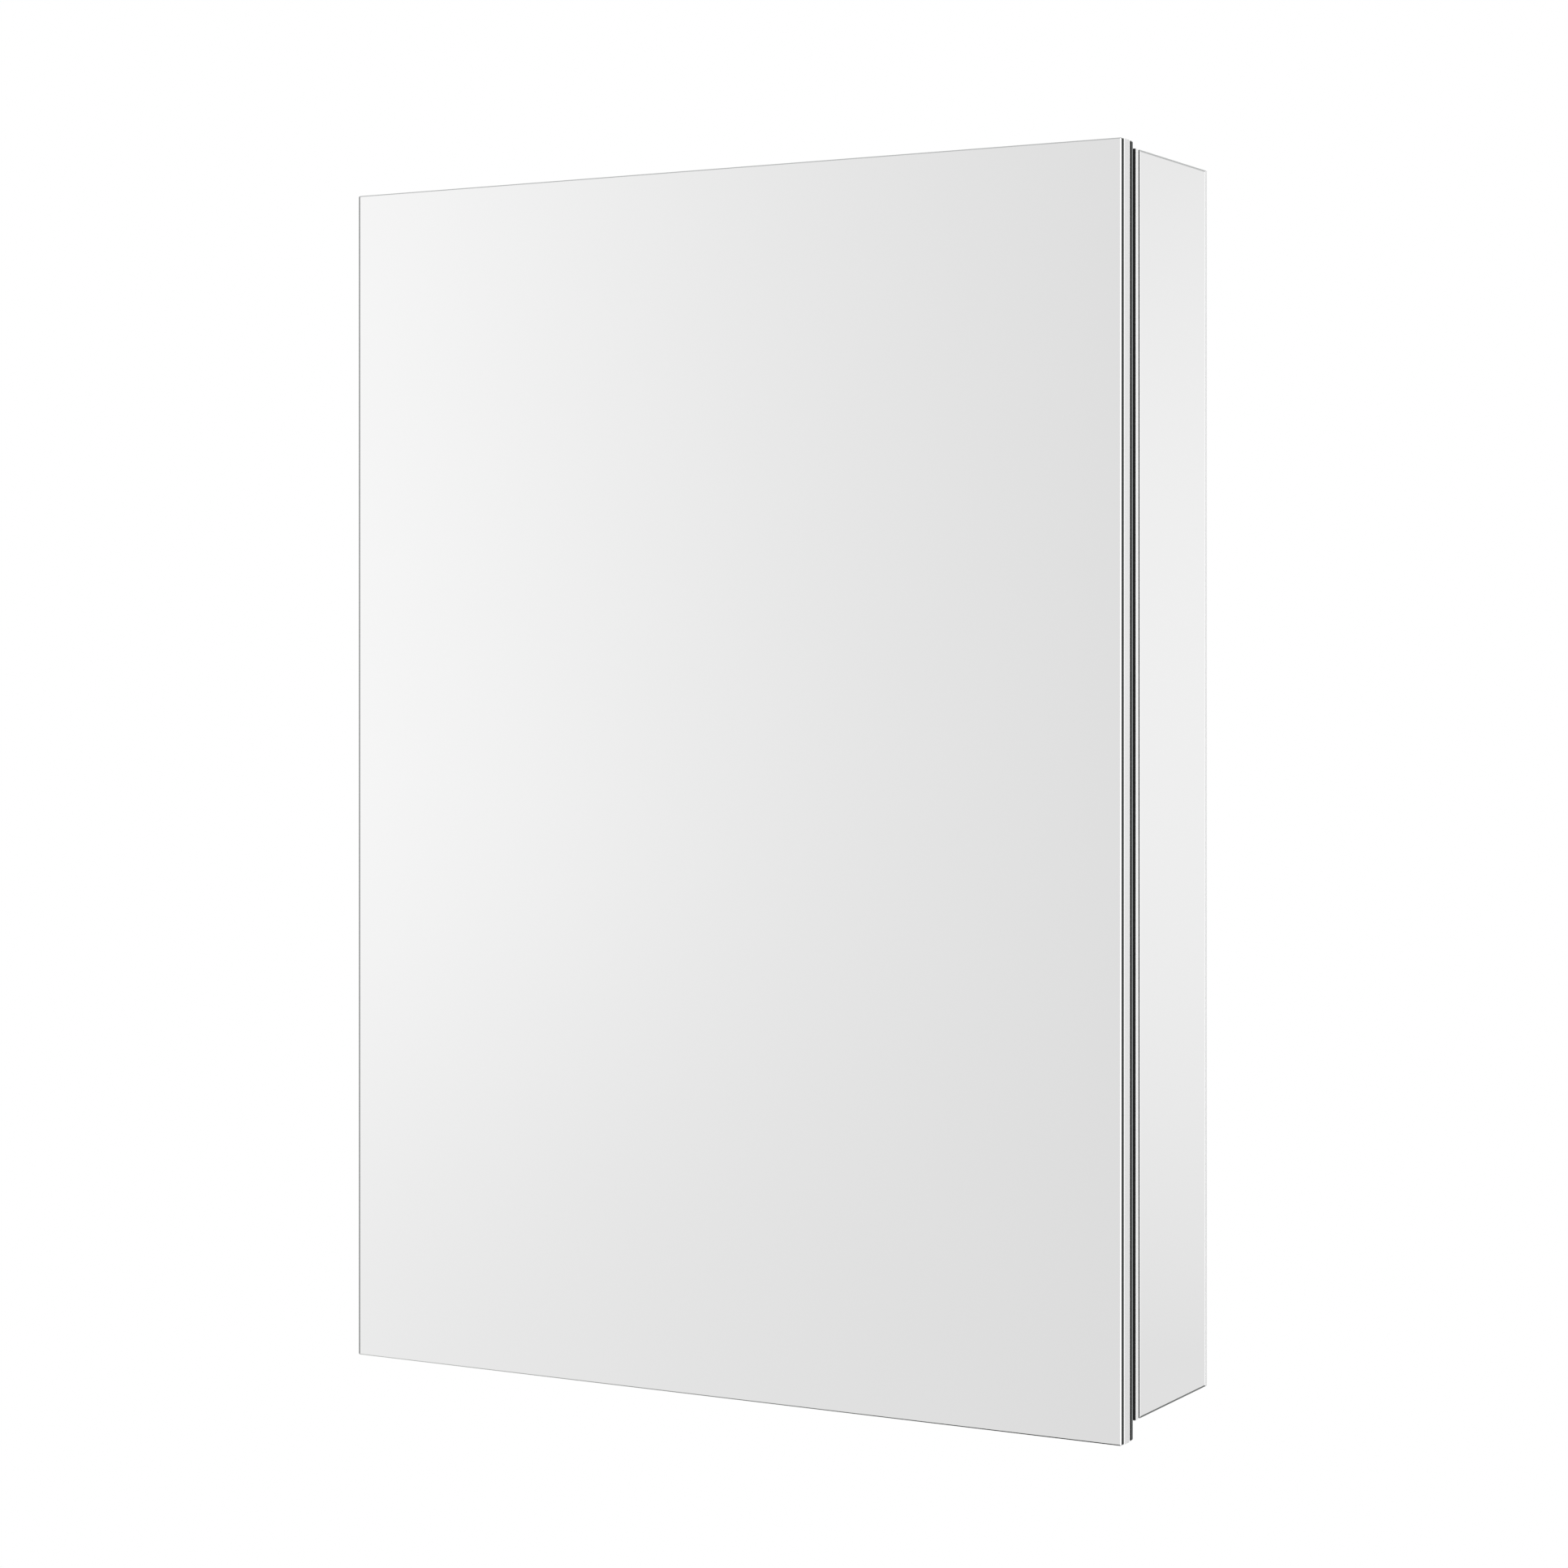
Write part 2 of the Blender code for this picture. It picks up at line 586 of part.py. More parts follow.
def door_back_mirror():
    v0 = FRAME_V1 + GAP
    box("door_back_mirror", (HINGE_JOINT_X + BACK_GLASS_LAP, DOOR_W / 2),
        (at_v(v0), at_v(v0 + BACK_GLASS_T)), (-DOOR_H / 2, DOOR_H / 2), "mirror",
        BACK_GLASS_ARRIS, door_origin())


def strike_plate():
    x1 = WALL_IN - GAP
    box("strike_plate", (x1 - CATCH_T, x1), (at_v(STRIKE_V[0]), at_v(STRIKE_V[1])),
        (-STRIKE_HALF_H, STRIKE_HALF_H), "steel", STRIKE_EDGE, door_origin())


# ----------------------------------------------------------------------------
# Hinges: single pivot, concealed, gooseneck arm reaching into a cup in the stile
# ----------------------------------------------------------------------------
def arm_outline():
    """Side view of the arm in X and Y, from the eye round to the fixing tail."""
    points = []
    cx = PIVOT_U
    cy = PIVOT_V
    half = ARM_T / 2
    start = math.asin(half / EYE_R)
    for i in range(EYE_STEPS + 1):
        ang = start + (2 * math.pi - 2 * start) * i / EYE_STEPS
        points.append((cx + EYE_R * math.cos(ang), cy + EYE_R * math.sin(ang)))
    neck = ((0.0198, cy - half), (0.0210, cy - half + 0.0012), (0.0210, 0.0235),
            (0.0238, 0.0263), (0.0238, 0.0620), (0.0213, 0.0620), (0.0213, 0.0275),
            (0.0185, 0.0247), (0.0185, cy + half + 0.0008), (0.0177, cy + half))
    points.extend(neck)
    return [(at_u(u), at_v(v)) for u, v in points]


def hinge_cup(tag, z):
    """Cup in the hinge stile, with its two screws and the pin."""
    swing = door_origin()
    pin = (at_u(PIVOT_U), at_v(PIVOT_V))
    cup = box("hinge_%s_cup" % tag, (at_u(CUP_U[0]), at_u(CUP_U[1])),
              (at_v(CUP_V[0]), at_v(CUP_V[1])), (z - CUP_HALF_H, z + CUP_HALF_H), "zinc", 0.0,
              swing)
    front = (at_v(0.0), at_v(EAR_V0))
    for sz in (1, -1):
        zs = sorted((z + sz * CUP_BODY_HALF_H, z + sz * (CUP_HALF_H + OVERCUT)))
        cut_box(cup, (at_u(0.0), at_u(CUP_U[1] + OVERCUT)), front, zs)
    cut_box(cup, (at_u(CUP_WELL_U[0]), at_u(CUP_WELL_U[1])),
            (at_v(CUP_WELL_V0), at_v(CUP_V[1]) + OVERCUT),
            (z - CUP_WELL_HALF_H, z + CUP_WELL_HALF_H))
    cut_hole(cup, PIN_HOLE_R, 2, 1, (*pin, z - THROUGH / 2), THROUGH)
    base = EAR_V0 - LEAD
    sink = ((0.0, 0.0), (SCREW_HOLE_R, 0.0), (SCREW_HOLE_R, EAR_SINK_V[0] - base),
            (HEAD_R, EAR_SINK_V[1] - base), (HEAD_R, OVERCUT), (0.0, OVERCUT))
    neck, top = (v - EAR_SCREW_V0 for v in EAR_HEAD_V)
    screw = ((0.0, 0.0), (SCREW_R, SCREW_TIP), (SCREW_R, neck), (HEAD_R - HEAD_EDGE, top),
             (0.0, top))
    for i, dz in enumerate((EAR_SCREW_DZ, -EAR_SCREW_DZ)):
        cut(cup, lathe_mesh(sink, 1, 1, (at_u(EAR_SCREW_U), at_v(base), z + dz)))
        lathe("hinge_%s_cup_screw_%d" % (tag, i + 1), screw, 1, 1,
              (at_u(EAR_SCREW_U), at_v(EAR_SCREW_V0), z + dz), "steel", swing)
    rod = ((0.0, 0.0), (PIN_R, 0.0), (PIN_R, 2 * PIN_HALF_L), (0.0, 2 * PIN_HALF_L))
    lathe("hinge_%s_pin" % tag, rod, 2, 1, (*pin, z - PIN_HALF_L), "steel", swing)


def hinge_arm(tag, z):
    """Arm with the eye on the pin, clamped on the mounting plate by one screw."""
    arm = prism("hinge_%s_arm" % tag, arm_outline(), 2, z - ARM_HALF_H, z + ARM_HALF_H,
                "steel", True)
    cut_hole(arm, PIN_HOLE_R, 2, 1, (at_u(PIVOT_U), at_v(PIVOT_V), z - THROUGH / 2), THROUGH)
    cut_hole(arm, SCREW_HOLE_R, 0, -1,
             (at_u(CLAMP_HEAD_U + LEAD), at_v(CLAMP_SCREW_V), z), OVERCUT)
    profile = ((0.0, 0.0), (CLAMP_HEAD_R - HEAD_EDGE, 0.0), (CLAMP_HEAD_R, HEAD_EDGE),
               (CLAMP_HEAD_R, CLAMP_HEAD_T), (SCREW_R, CLAMP_HEAD_T), (SCREW_R, CLAMP_SCREW_L),
               (0.0, CLAMP_SCREW_L))
    lathe("hinge_%s_clamp_screw" % tag, profile, 0, -1,
          (at_u(CLAMP_HEAD_U), at_v(CLAMP_SCREW_V), z), "steel")


def hinge_plate(tag, z):
    """Mounting plate on the side wall, with its two screws."""
    plate = box("hinge_%s_plate" % tag, (at_u(PLATE_U[0]), at_u(PLATE_U[1])),
                (at_v(PLATE_V[0]), at_v(PLATE_V[1])), (z - PLATE_HALF_H, z + PLATE_HALF_H),
                "zinc", PLATE_EDGE)
    start_x = at_u(PLATE_HEAD_U)
    cut_hole(plate, SCREW_HOLE_R, 0, -1, (start_x, at_v(CLAMP_SCREW_V), z), OVERCUT)
    profile = ((0.0, 0.0), (HEAD_R - HEAD_EDGE, 0.0), (HEAD_R, HEAD_EDGE),
               (HEAD_R, PLATE_HEAD_T), (SCREW_R, PLATE_HEAD_T), (SCREW_R, PLATE_SCREW_L),
               (0.0, PLATE_SCREW_L + SCREW_TIP))
    for i, dz in enumerate((PLATE_SCREW_DZ, -PLATE_SCREW_DZ)):
        cut_hole(plate, SCREW_HOLE_R, 0, -1, (start_x, at_v(PLATE_SCREW_V), z + dz), OVERCUT)
        lathe("hinge_%s_plate_screw_%d" % (tag, i + 1), profile, 0, -1,
              (start_x, at_v(PLATE_SCREW_V), z + dz), "steel")


def main():
    clear_scene()
    for side in ("left", "right"):
        side_wall(side)
        side_mirror(side)
    deck("top_panel", BODY_TOP - DECK_T, BODY_TOP, 1)
    deck("bottom_panel", BODY_BOTTOM, BODY_BOTTOM + DECK_T, -1)
    assembly_screws()
    back_panel()
    inner_mirror()
    wall_fixings()
    dust_seal()
    shelves()
    magnet_catch()
    door_front_mirror()
    door_frame()
    door_keys()
    door_core()
    door_back_mirror()
    strike_plate()
    for tag, z in (("upper", HINGE_Z[0]), ("lower", HINGE_Z[1])):
        hinge_cup(tag, z)
        hinge_arm(tag, z)
        hinge_plate(tag, z)


main()
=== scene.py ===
"""Looks of the mirror cabinet: finishes, studio light and camera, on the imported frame.

The frame is in metres, +Z up, with the wall at Y = 0 and the door's front towards -Y.
"""

import functools
import json
import math

import bmesh
import bpy
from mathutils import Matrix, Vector


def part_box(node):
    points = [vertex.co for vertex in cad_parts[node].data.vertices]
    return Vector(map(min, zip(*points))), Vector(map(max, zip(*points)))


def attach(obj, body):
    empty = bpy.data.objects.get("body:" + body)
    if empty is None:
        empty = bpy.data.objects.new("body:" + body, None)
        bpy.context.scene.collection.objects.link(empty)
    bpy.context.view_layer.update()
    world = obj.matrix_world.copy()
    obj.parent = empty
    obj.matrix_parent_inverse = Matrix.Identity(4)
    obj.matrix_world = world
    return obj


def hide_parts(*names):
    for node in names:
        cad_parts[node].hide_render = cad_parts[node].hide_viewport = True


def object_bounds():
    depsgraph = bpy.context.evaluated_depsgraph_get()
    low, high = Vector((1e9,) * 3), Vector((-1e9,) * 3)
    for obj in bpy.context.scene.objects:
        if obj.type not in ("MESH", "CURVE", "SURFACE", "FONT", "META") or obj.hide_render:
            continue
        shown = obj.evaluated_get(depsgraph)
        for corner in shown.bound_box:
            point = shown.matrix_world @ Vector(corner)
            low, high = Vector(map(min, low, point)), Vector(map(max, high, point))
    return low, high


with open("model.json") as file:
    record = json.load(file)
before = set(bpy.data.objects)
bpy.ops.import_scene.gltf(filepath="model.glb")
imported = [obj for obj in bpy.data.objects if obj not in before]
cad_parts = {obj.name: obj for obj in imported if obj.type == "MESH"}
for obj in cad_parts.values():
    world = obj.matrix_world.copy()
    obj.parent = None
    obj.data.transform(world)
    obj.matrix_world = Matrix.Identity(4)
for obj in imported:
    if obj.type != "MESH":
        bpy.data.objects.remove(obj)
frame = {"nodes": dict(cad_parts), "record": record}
cad_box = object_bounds()

BODY_OF = {n: b for b, nodes in frame["record"]["behaviour"]["bodies"].items() for n in nodes}

# ----------------------------------------------------------------------------
# Sizes, in metres
# ----------------------------------------------------------------------------
TINY = 0.00001            # tolerance for picking vertices
BISECT_TOL = 1e-7         # tolerance of a cut through a mesh
WELD = 0.000005           # merge distance for the frame's meshes
METAL_EDGE = 0.00025      # edge break of the metal pieces
REAR_LIP = 0.0020         # reach of the side walls' rear lips, from the wall
CLOSE_UP = 0.00025        # how far a bonded piece fills the assembly gap beside it

# Mirrors. A chamfer is (width across the face, depth along the edge).
FRONT_ARRIS = (0.0006, 0.0006)     # round the front mirror of the door
LEFT_ARRIS = (0.0010, 0.0005)      # along its left edge
SIDE_ARRIS = (0.00025, 0.00025)    # at the front of a side mirror
SIDE_FLANK = (0.0009, 0.00022)     # shallow, at its top and bottom
SIDE_REAR = (0.0015, 0.00022)      # shallow, at its rear
THIN_ARRIS = (0.0003, 0.0003)      # round the back mirror of the door
REAR_ARRIS = 0.0003       # smaller chamfer at the painted side
ROUNDING = (2.4, 0.42)    # slopes of the two narrow facets beside a chamfer, as shares of its own
ROUNDING_CUT = 0.06       # how deep they cut, as a share of the chamfer's depth
CORNER_CUT = 0.0007       # safety cut at the corners of the door's mirrors
DARK_BAND = 0.0018             # depth of the near-black band along the rear of the back mirror's edges
STILE_FLANK = (0.0009, 0.00012)    # shallow bright chamfers along the outer face of a stile

# Dust seal
SEAL_W = 0.0040
SEAL_CLEAR = 0.00025      # between its lip and the door
SEAL_FOOT = ((0.0, 0.0), (0.0, 0.0012), (0.0007, 0.0016))   # (inset, height) of its flat foot
SEAL_STEPS = 8            # facets of its round lip

# Shelf studs, as (share of the radius, distance from the tip) or (inset, distance)
STUD_TIP = ((0.0, 0.0), (0.5, 0.0001), (0.8, 0.0005), (0.95, 0.0010), (1.0, 0.0017))
STUD_SLEEVE = (0.0028, 0.0060)     # soft sleeve in a groove, from the tip
STUD_GROOVE = ((0.0, 0.0), (0.0005, 0.0001), (0.0005, 0.0003), (0.0001, 0.0006))
STUD_LIP = 0.0003         # metal that shows in the groove beside the sleeve
STUD_EDGE = 0.0003
STUD_TAIL_L = 0.0018      # thin tail in the wall
STUD_TAIL_R = 0.0025
STUD_TAIL_EDGE = 0.0004

# Bushes of the wall screws
BUSH_SHANK_R = 0.0066
BUSH_BORE_R = 0.0026
BUSH_BORE_L = 0.0020
BUSH_DISH_R = 0.0048
BUSH_EDGE = 0.0003
BUSH_FLANGE_T = 0.0020
BUSH_RIM = (0.0009, 0.0015)        # heights at which the flange's rim starts and ends its curve
BUSH_CROWN = (0.0009, 0.0016)      # insets between which its face curves down

# Screws
SCREW_R = 0.0015
SCREW_CORE_R = 0.00112
SCREW_HOLE_R = 0.0018
SCREW_TIP = 0.0008
SCREW_POINT = (0.45, 0.0001)       # its blunt point: share of the core's radius, and height
SCREW_STEP = 0.00002      # keeps the rings of a square shoulder apart
SCREW_NECK = (0.0006, 0.0009)      # end of the plain neck and start of the thread, from the head
PAN_HEAD_T = 0.0015
PAN_HEAD = ((0.45, 0.00003), (0.75, 0.0002), (0.93, 0.0005), (1.0, 0.0010),
            (1.0, PAN_HEAD_T), (0.97, PAN_HEAD_T + SCREW_STEP))
EAR_HEAD = ((0.96, 0.0), (1.0, 0.0001), (0.52, 0.0012))     # countersunk, in a hinge cup
BODY_HEAD = ((0.96, 0.0), (1.0, 0.0001), (0.52, 0.0018))    # countersunk, in the body
THREAD_PITCH = 0.0012
THREAD_STEPS = 8          # rings for each turn of a thread
THREAD_FLANK = 3.0        # steepness of its ridge
RECESS_ABOVE = 0.001      # the cutter of a cross recess: how far it stands out of the head
RECESS_DEPTH = 0.0011
RECESS_ARM = 0.0019
RECESS_HALF_W = 0.00045
RECESS_TAPER = 0.45

# Hinges
EAR_ROUND = 0.0025        # corner of a cup's ear
EAR_SEAT_GAP = 0.0003     # between an ear and its seat in the stile
EAR_EDGE = 0.00025
TAIL_ROUND = 0.0030       # corner of an arm's tail
ARM_EDGE = 0.00035
PLATE_ROUND = 0.0040      # corner of a mounting plate
PLATE_EDGE = 0.0003
PIN_EDGE = 0.3            # chamfer of a pin, as a share of its radius
RIB_GAP = 0.0004          # ribs that guide the arm
RIB_W = 0.0022
RIB_H = 0.0014
RIB_SLOPE = 0.0003
CUTTER_LEAD = 0.001       # how far a drill starts before its face
DRILL_L = 0.01

# Magnet catch and strike plate. A profile is (radius, depth below the case's face).
CATCH_SKIN = 0.0004       # the case stands back from its screw heads
CATCH_PROUD = 0.0007      # and from its poles
CATCH_ROUND = 0.0015
CATCH_MOUTH = Vector((0.0034, 0.0, 0.0124))   # half size of the mouth for the magnet
CATCH_WELL = 0.0045       # its depth
CATCH_SINK = ((0.0, -0.001), (0.0030, -0.001), (0.0030, 0.0), (0.0017, 0.0013), (0.0, 0.0013))
CATCH_HEAD = ((0.0, 0.0001), (0.0020, 0.0001), (0.0027, 0.0002), (0.0016, 0.0012), (0.0, 0.0012))
CATCH_SCREW_Y = 0.0140    # screws, behind the front of the case
CATCH_SCREW_Z = 0.0125    # and from its middle
POLE_X = 0.00245          # steel poles, from the middle of the case
POLE_HALF = (0.00075, 0.012)       # half width and half height
FERRITE_HALF = (0.0016, 0.0118)
FERRITE_BACK = 0.0005     # the magnet stands back from the poles
CATCH_EDGE = 0.0003
BLOCK_EDGE = 0.0002
STRIKE_ROUND = 0.0022
STRIKE_EDGE = 0.00015

# Back
BEAD_INSET = 0.0670       # pressed bead, from the edges of the back
BEAD_ROUND = 0.0300
BEAD_STEPS = 10           # facets of its round corners
BEAD_SECTION = ((-0.0046, 0.0006), (-0.0040, 0.0), (-0.0032, -0.0004), (-0.0020, -0.0006),
                (0.0020, -0.0006), (0.0032, -0.0004), (0.0040, 0.0), (0.0046, 0.0006))

# Studio
CAMERA_PLACE = (0.9956, -1.8393, 0.0765)
CAMERA_TURN = 29.0        # degrees to the left of straight ahead
FLOOR_DROP = 0.90         # floor below the cabinet
FLOOR_RADIUS = 2.4
FLOOR_FADE = 1.1          # radius from which the floor blends into the studio's white
KEY_PLACE = Vector((-1.3, -1.9, 1.5))
STUDIO_PEAK = 1.3         # the front ramp holds shares of this level
STUDIO_FRONT = (          # level round the front, from the far right (0) to the far left (1)
    (0.00, 1.25), (0.15, 1.15), (0.30, 0.92), (0.45, 0.74), (0.60, 0.74),
    (0.70, 0.79), (0.75, 0.88), (0.80, 1.02), (0.90, 1.10), (1.00, 0.74))


# ----------------------------------------------------------------------------
# Camera, world and floor
# ----------------------------------------------------------------------------
def add_camera():
    """Level camera at the cabinet's right front; the shift keeps the verticals upright."""
    data = bpy.data.cameras.new("camera")
    cam = bpy.data.objects.new("camera", data)
    bpy.context.scene.collection.objects.link(cam)
    cam.location = CAMERA_PLACE
    cam.rotation_euler = (math.radians(90.0), 0.0, math.radians(CAMERA_TURN))
    data.sensor_width = 36.0
    data.lens = 80.0
    data.shift_y = -0.0863
    data.clip_start = 0.05
    data.clip_end = 50.0
    bpy.context.scene.camera = cam


class Graph:
    """Short-hand for building a node tree."""

    def __init__(self, tree):
        self.nodes = tree.nodes
        self.links = tree.links

    def add(self, kind, **settings):
        node = self.nodes.new(kind)
        for key, value in settings.items():
            setattr(node, key, value)
        return node

    def feed(self, socket, value):
        if hasattr(value, "links"):
            self.links.new(value, socket)
        else:
            socket.default_value = value

    def math(self, operation, *values, clamp=False):
        node = self.add("ShaderNodeMath", operation=operation, use_clamp=clamp)
        for socket, value in zip(node.inputs, values):
            self.feed(socket, value)
        return node.outputs[0]

    def smooth(self, value, low, high, out_low=0.0, out_high=1.0):
        node = self.add("ShaderNodeMapRange", interpolation_type='SMOOTHSTEP')
        self.feed(node.inputs["Value"], value)
        node.inputs["From Min"].default_value = low
        node.inputs["From Max"].default_value = high
        node.inputs["To Min"].default_value = out_low
        node.inputs["To Max"].default_value = out_high
        return node.outputs["Result"]

    def blend(self, factor, a, b):
        node = self.add("ShaderNodeMix", data_type='FLOAT')
        self.feed(node.inputs["Factor"], factor)
        self.feed(node.inputs["A"], a)
        self.feed(node.inputs["B"], b)
        return node.outputs["Result"]

    def ramp(self, value, stops):
        """Grey ramp through (position, level) stops, smoothly joined."""
        node = self.add("ShaderNodeValToRGB")
        node.color_ramp.interpolation = 'B_SPLINE' if len(stops) > 3 else 'EASE'
        elements = node.color_ramp.elements
        while len(elements) > 1:
            elements.remove(elements[-1])
        for i, (pos, level) in enumerate(stops):
            element = elements[0] if i == 0 else elements.new(pos)
            element.position = pos
            element.color = (level, level, level, 1.0)
        self.feed(node.inputs["Fac"], value)
        return node.outputs["Color"]


def add_studio():
    """A white studio with broad soft light: bright to both sides, greyer in front and at
    the far ends, with a horizon ring that fades upwards.
    """
    world = bpy.data.worlds.new("studio")
    bpy.context.scene.world = world
    world.use_nodes = True
    tree = world.node_tree
    tree.nodes.clear()
    g = Graph(tree)
    where = g.add("ShaderNodeTexCoord")
    split = g.add("ShaderNodeSeparateXYZ")
    g.links.new(where.outputs["Generated"], split.inputs[0])
    x, y, z = split.outputs
    leftness = g.math('MULTIPLY_ADD', x, -0.5, 0.5)
    front = g.ramp(leftness, [(pos, level / STUDIO_PEAK) for pos, level in STUDIO_FRONT])
    front = g.math('MULTIPLY', front, STUDIO_PEAK)
    low_left = g.smooth(leftness, 0.69, 0.80, 0.975, 0.90)
    front = g.math('MULTIPLY', front, g.blend(g.smooth(z, -0.22, -0.03), low_left, 1.0))
    # The back half has a soft panel at its right, brightest at eye level, then a grey end.
    panel = g.math('MULTIPLY_ADD', g.math('MULTIPLY', z, z), -3.35, 0.93)
    panel = g.math('MAXIMUM', panel, 0.80)
    back = g.blend(g.smooth(x, 0.22, 0.34), 1.15, panel)
    back = g.blend(g.smooth(x, 0.42, 0.60), back, 1.10)
    back = g.blend(g.smooth(x, 0.70, 0.88), back, 0.80)
    back = g.blend(g.smooth(x, -0.45, -0.15), 0.60, back)
    ring = g.blend(g.smooth(y, -0.25, 0.25), front, back)
    ring = g.blend(g.smooth(z, 0.25, 0.70), ring, 0.80)
    ring = g.blend(g.smooth(z, -0.30, -0.80), ring, 0.66)
    light = g.add("ShaderNodeBackground")
    g.links.new(ring, light.inputs["Color"])
    white = g.add("ShaderNodeBackground")
    white.inputs["Color"].default_value = (1.0, 1.0, 1.0, 1.0)
    path = g.add("ShaderNodeLightPath")
    mix = g.add("ShaderNodeMixShader")
    g.links.new(path.outputs["Is Camera Ray"], mix.inputs["Fac"])
    g.links.new(light.outputs[0], mix.inputs[1])
    g.links.new(white.outputs[0], mix.inputs[2])
    out = g.add("ShaderNodeOutputWorld")
    g.links.new(mix.outputs[0], out.inputs["Surface"])
    bpy.context.scene.view_settings.view_transform = 'Standard'


def add_floor():
    """Pale floor disc whose rim fades into the white of the studio."""
    bm = bmesh.new()
    bmesh.ops.create_circle(bm, cap_ends=True, radius=FLOOR_RADIUS, segments=96)
    bmesh.ops.translate(bm, vec=(0.0, 0.0, cad_box[0].z - FLOOR_DROP), verts=bm.verts)
    mesh = bpy.data.meshes.new("floor")
    bm.to_mesh(mesh)
    bm.free()
    floor = bpy.data.objects.new("floor", mesh)
    bpy.context.scene.collection.objects.link(floor)
    mat, g, shader = new_material("floor_paint")
    vary_color(g, shader, grain(g, 1.6), (0.86, 0.86, 0.86), (0.89, 0.89, 0.89))
    shader.inputs["Roughness"].default_value = 0.85
    where = g.add("ShaderNodeTexCoord")
    flat = g.add("ShaderNodeVectorMath", operation='MULTIPLY')
    flat.inputs[1].default_value = (1.0, 1.0, 0.0)
    g.links.new(where.outputs["Object"], flat.inputs[0])
    reach = g.add("ShaderNodeVectorMath", operation='LENGTH')
    g.links.new(flat.outputs["Vector"], reach.inputs[0])
    solid = g.smooth(reach.outputs["Value"], FLOOR_FADE, FLOOR_RADIUS, 1.0, 0.0)
    g.links.new(solid, shader.inputs["Alpha"])
    mesh.materials.append(mat)


def add_key_light():
    """One large soft light above the left front, which models the metal and the shelves."""
    data = bpy.data.lights.new("key", 'AREA')
    data.shape = 'RECTANGLE'
    data.size = 1.6
    data.size_y = 1.2
    data.energy = 14.0
    key = bpy.data.objects.new("key", data)
    key.location = KEY_PLACE
    key.rotation_euler = (-KEY_PLACE).to_track_quat('-Z', 'Y').to_euler()
    key.visible_glossy = False
    bpy.context.scene.collection.objects.link(key)


# ----------------------------------------------------------------------------
# Materials
# ----------------------------------------------------------------------------
def new_material(name):
    """A material, short-hand for its node tree, and its shader."""
    mat = bpy.data.materials.new(name)
    mat.use_nodes = True
    g = Graph(mat.node_tree)
    return mat, g, mat.node_tree.nodes["Principled BSDF"]


def grain(g, scale, stretch=(1.0, 1.0, 1.0), detail=3.0):
    """Noise in the piece's own coordinates, stretched along chosen axes."""
    where = g.add("ShaderNodeTexCoord")
    place = g.add("ShaderNodeMapping")
    place.inputs["Scale"].default_value = stretch
    noise = g.add("ShaderNodeTexNoise")
    noise.inputs["Scale"].default_value = scale
    noise.inputs["Detail"].default_value = detail
    g.links.new(where.outputs["Object"], place.inputs["Vector"])
    g.links.new(place.outputs["Vector"], noise.inputs["Vector"])
    return noise.outputs["Fac"]


def vary_color(g, shader, value, dark, light):
    """Base colour that runs between two colours with a value."""
    node = g.add("ShaderNodeMix", data_type='RGBA')
    node.inputs[6].default_value = (*dark, 1.0)
    node.inputs[7].default_value = (*light, 1.0)
    g.links.new(value, node.inputs["Factor"])
    g.links.new(node.outputs[2], shader.inputs["Base Color"])


def bumpy(g, shader, value, distance):
    """Relief of a given depth in metres."""
    node = g.add("ShaderNodeBump")
    node.inputs["Strength"].default_value = 1.0
    node.inputs["Distance"].default_value = distance
    g.links.new(value, node.inputs["Height"])
    g.links.new(node.outputs["Normal"], shader.inputs["Normal"])


def silver(name, level):
    """Silvered face: nearly perfect reflection, with the faintest wiping haze."""
    mat, g, shader = new_material(name)
    shader.inputs["Metallic"].default_value = 1.0
    haze = grain(g, 9.0, (1.0, 1.0, 2.2), 4.0)
    vary_color(g, shader, haze, (level * 0.992,) * 3, (level,) * 3)
    g.links.new(g.smooth(haze, 0.35, 0.75, 0.004, 0.016), shader.inputs["Roughness"])
    return mat


def polished_arris(name, level, roughness):
    """Chamfer on the glass with the silver behind it: a soft mirror with grinding lines."""
    mat, g, shader = new_material(name)
    shader.inputs["Metallic"].default_value = 1.0
    lines = grain(g, 2600.0, (1.0, 1.0, 1.0), 2.0)
    vary_color(g, shader, lines, (level * 0.94,) * 3, (level,) * 3)
    shader.inputs["Roughness"].default_value = roughness
    return mat


def ground_glass(name, dark, light, roughness, shine=0.25):
    """Ground glass edge: fine scratches along it and a soft shine."""
    mat, g, shader = new_material(name)
    lines = grain(g, 2400.0, (1.0, 1.0, 0.25), 2.0)
    vary_color(g, shader, lines, dark, light)
    shader.inputs["Roughness"].default_value = roughness
    shader.inputs["Specular IOR Level"].default_value = shine
    bumpy(g, shader, lines, 0.00002)
    return mat


def painted_shade_ramp_arris(name):
    """Lower arris of the door mirror with painted shade: bright at the hinges, nearly black at the
    free side.
    """
    mat, g, shader = new_material(name)
    where = g.add("ShaderNodeTexCoord")
    split = g.add("ShaderNodeSeparateXYZ")
    g.links.new(where.outputs["Object"], split.inputs[0])
    lines = grain(g, 2400.0, (0.25, 1.0, 1.0), 2.0)
    level = g.math('MULTIPLY_ADD', lines, 0.06, -0.03)
    # painted shade: the colour ramps along X, with faint grinding lines on top
    grade = g.math('ADD', g.smooth(split.outputs["X"], -0.30, 0.28), level, clamp=True)
    vary_color(g, shader, grade, (0.62, 0.63, 0.62), (0.012, 0.015, 0.014))
    shader.inputs["Roughness"].default_value = 0.30
    shader.inputs["Specular IOR Level"].default_value = 0.06
    return mat


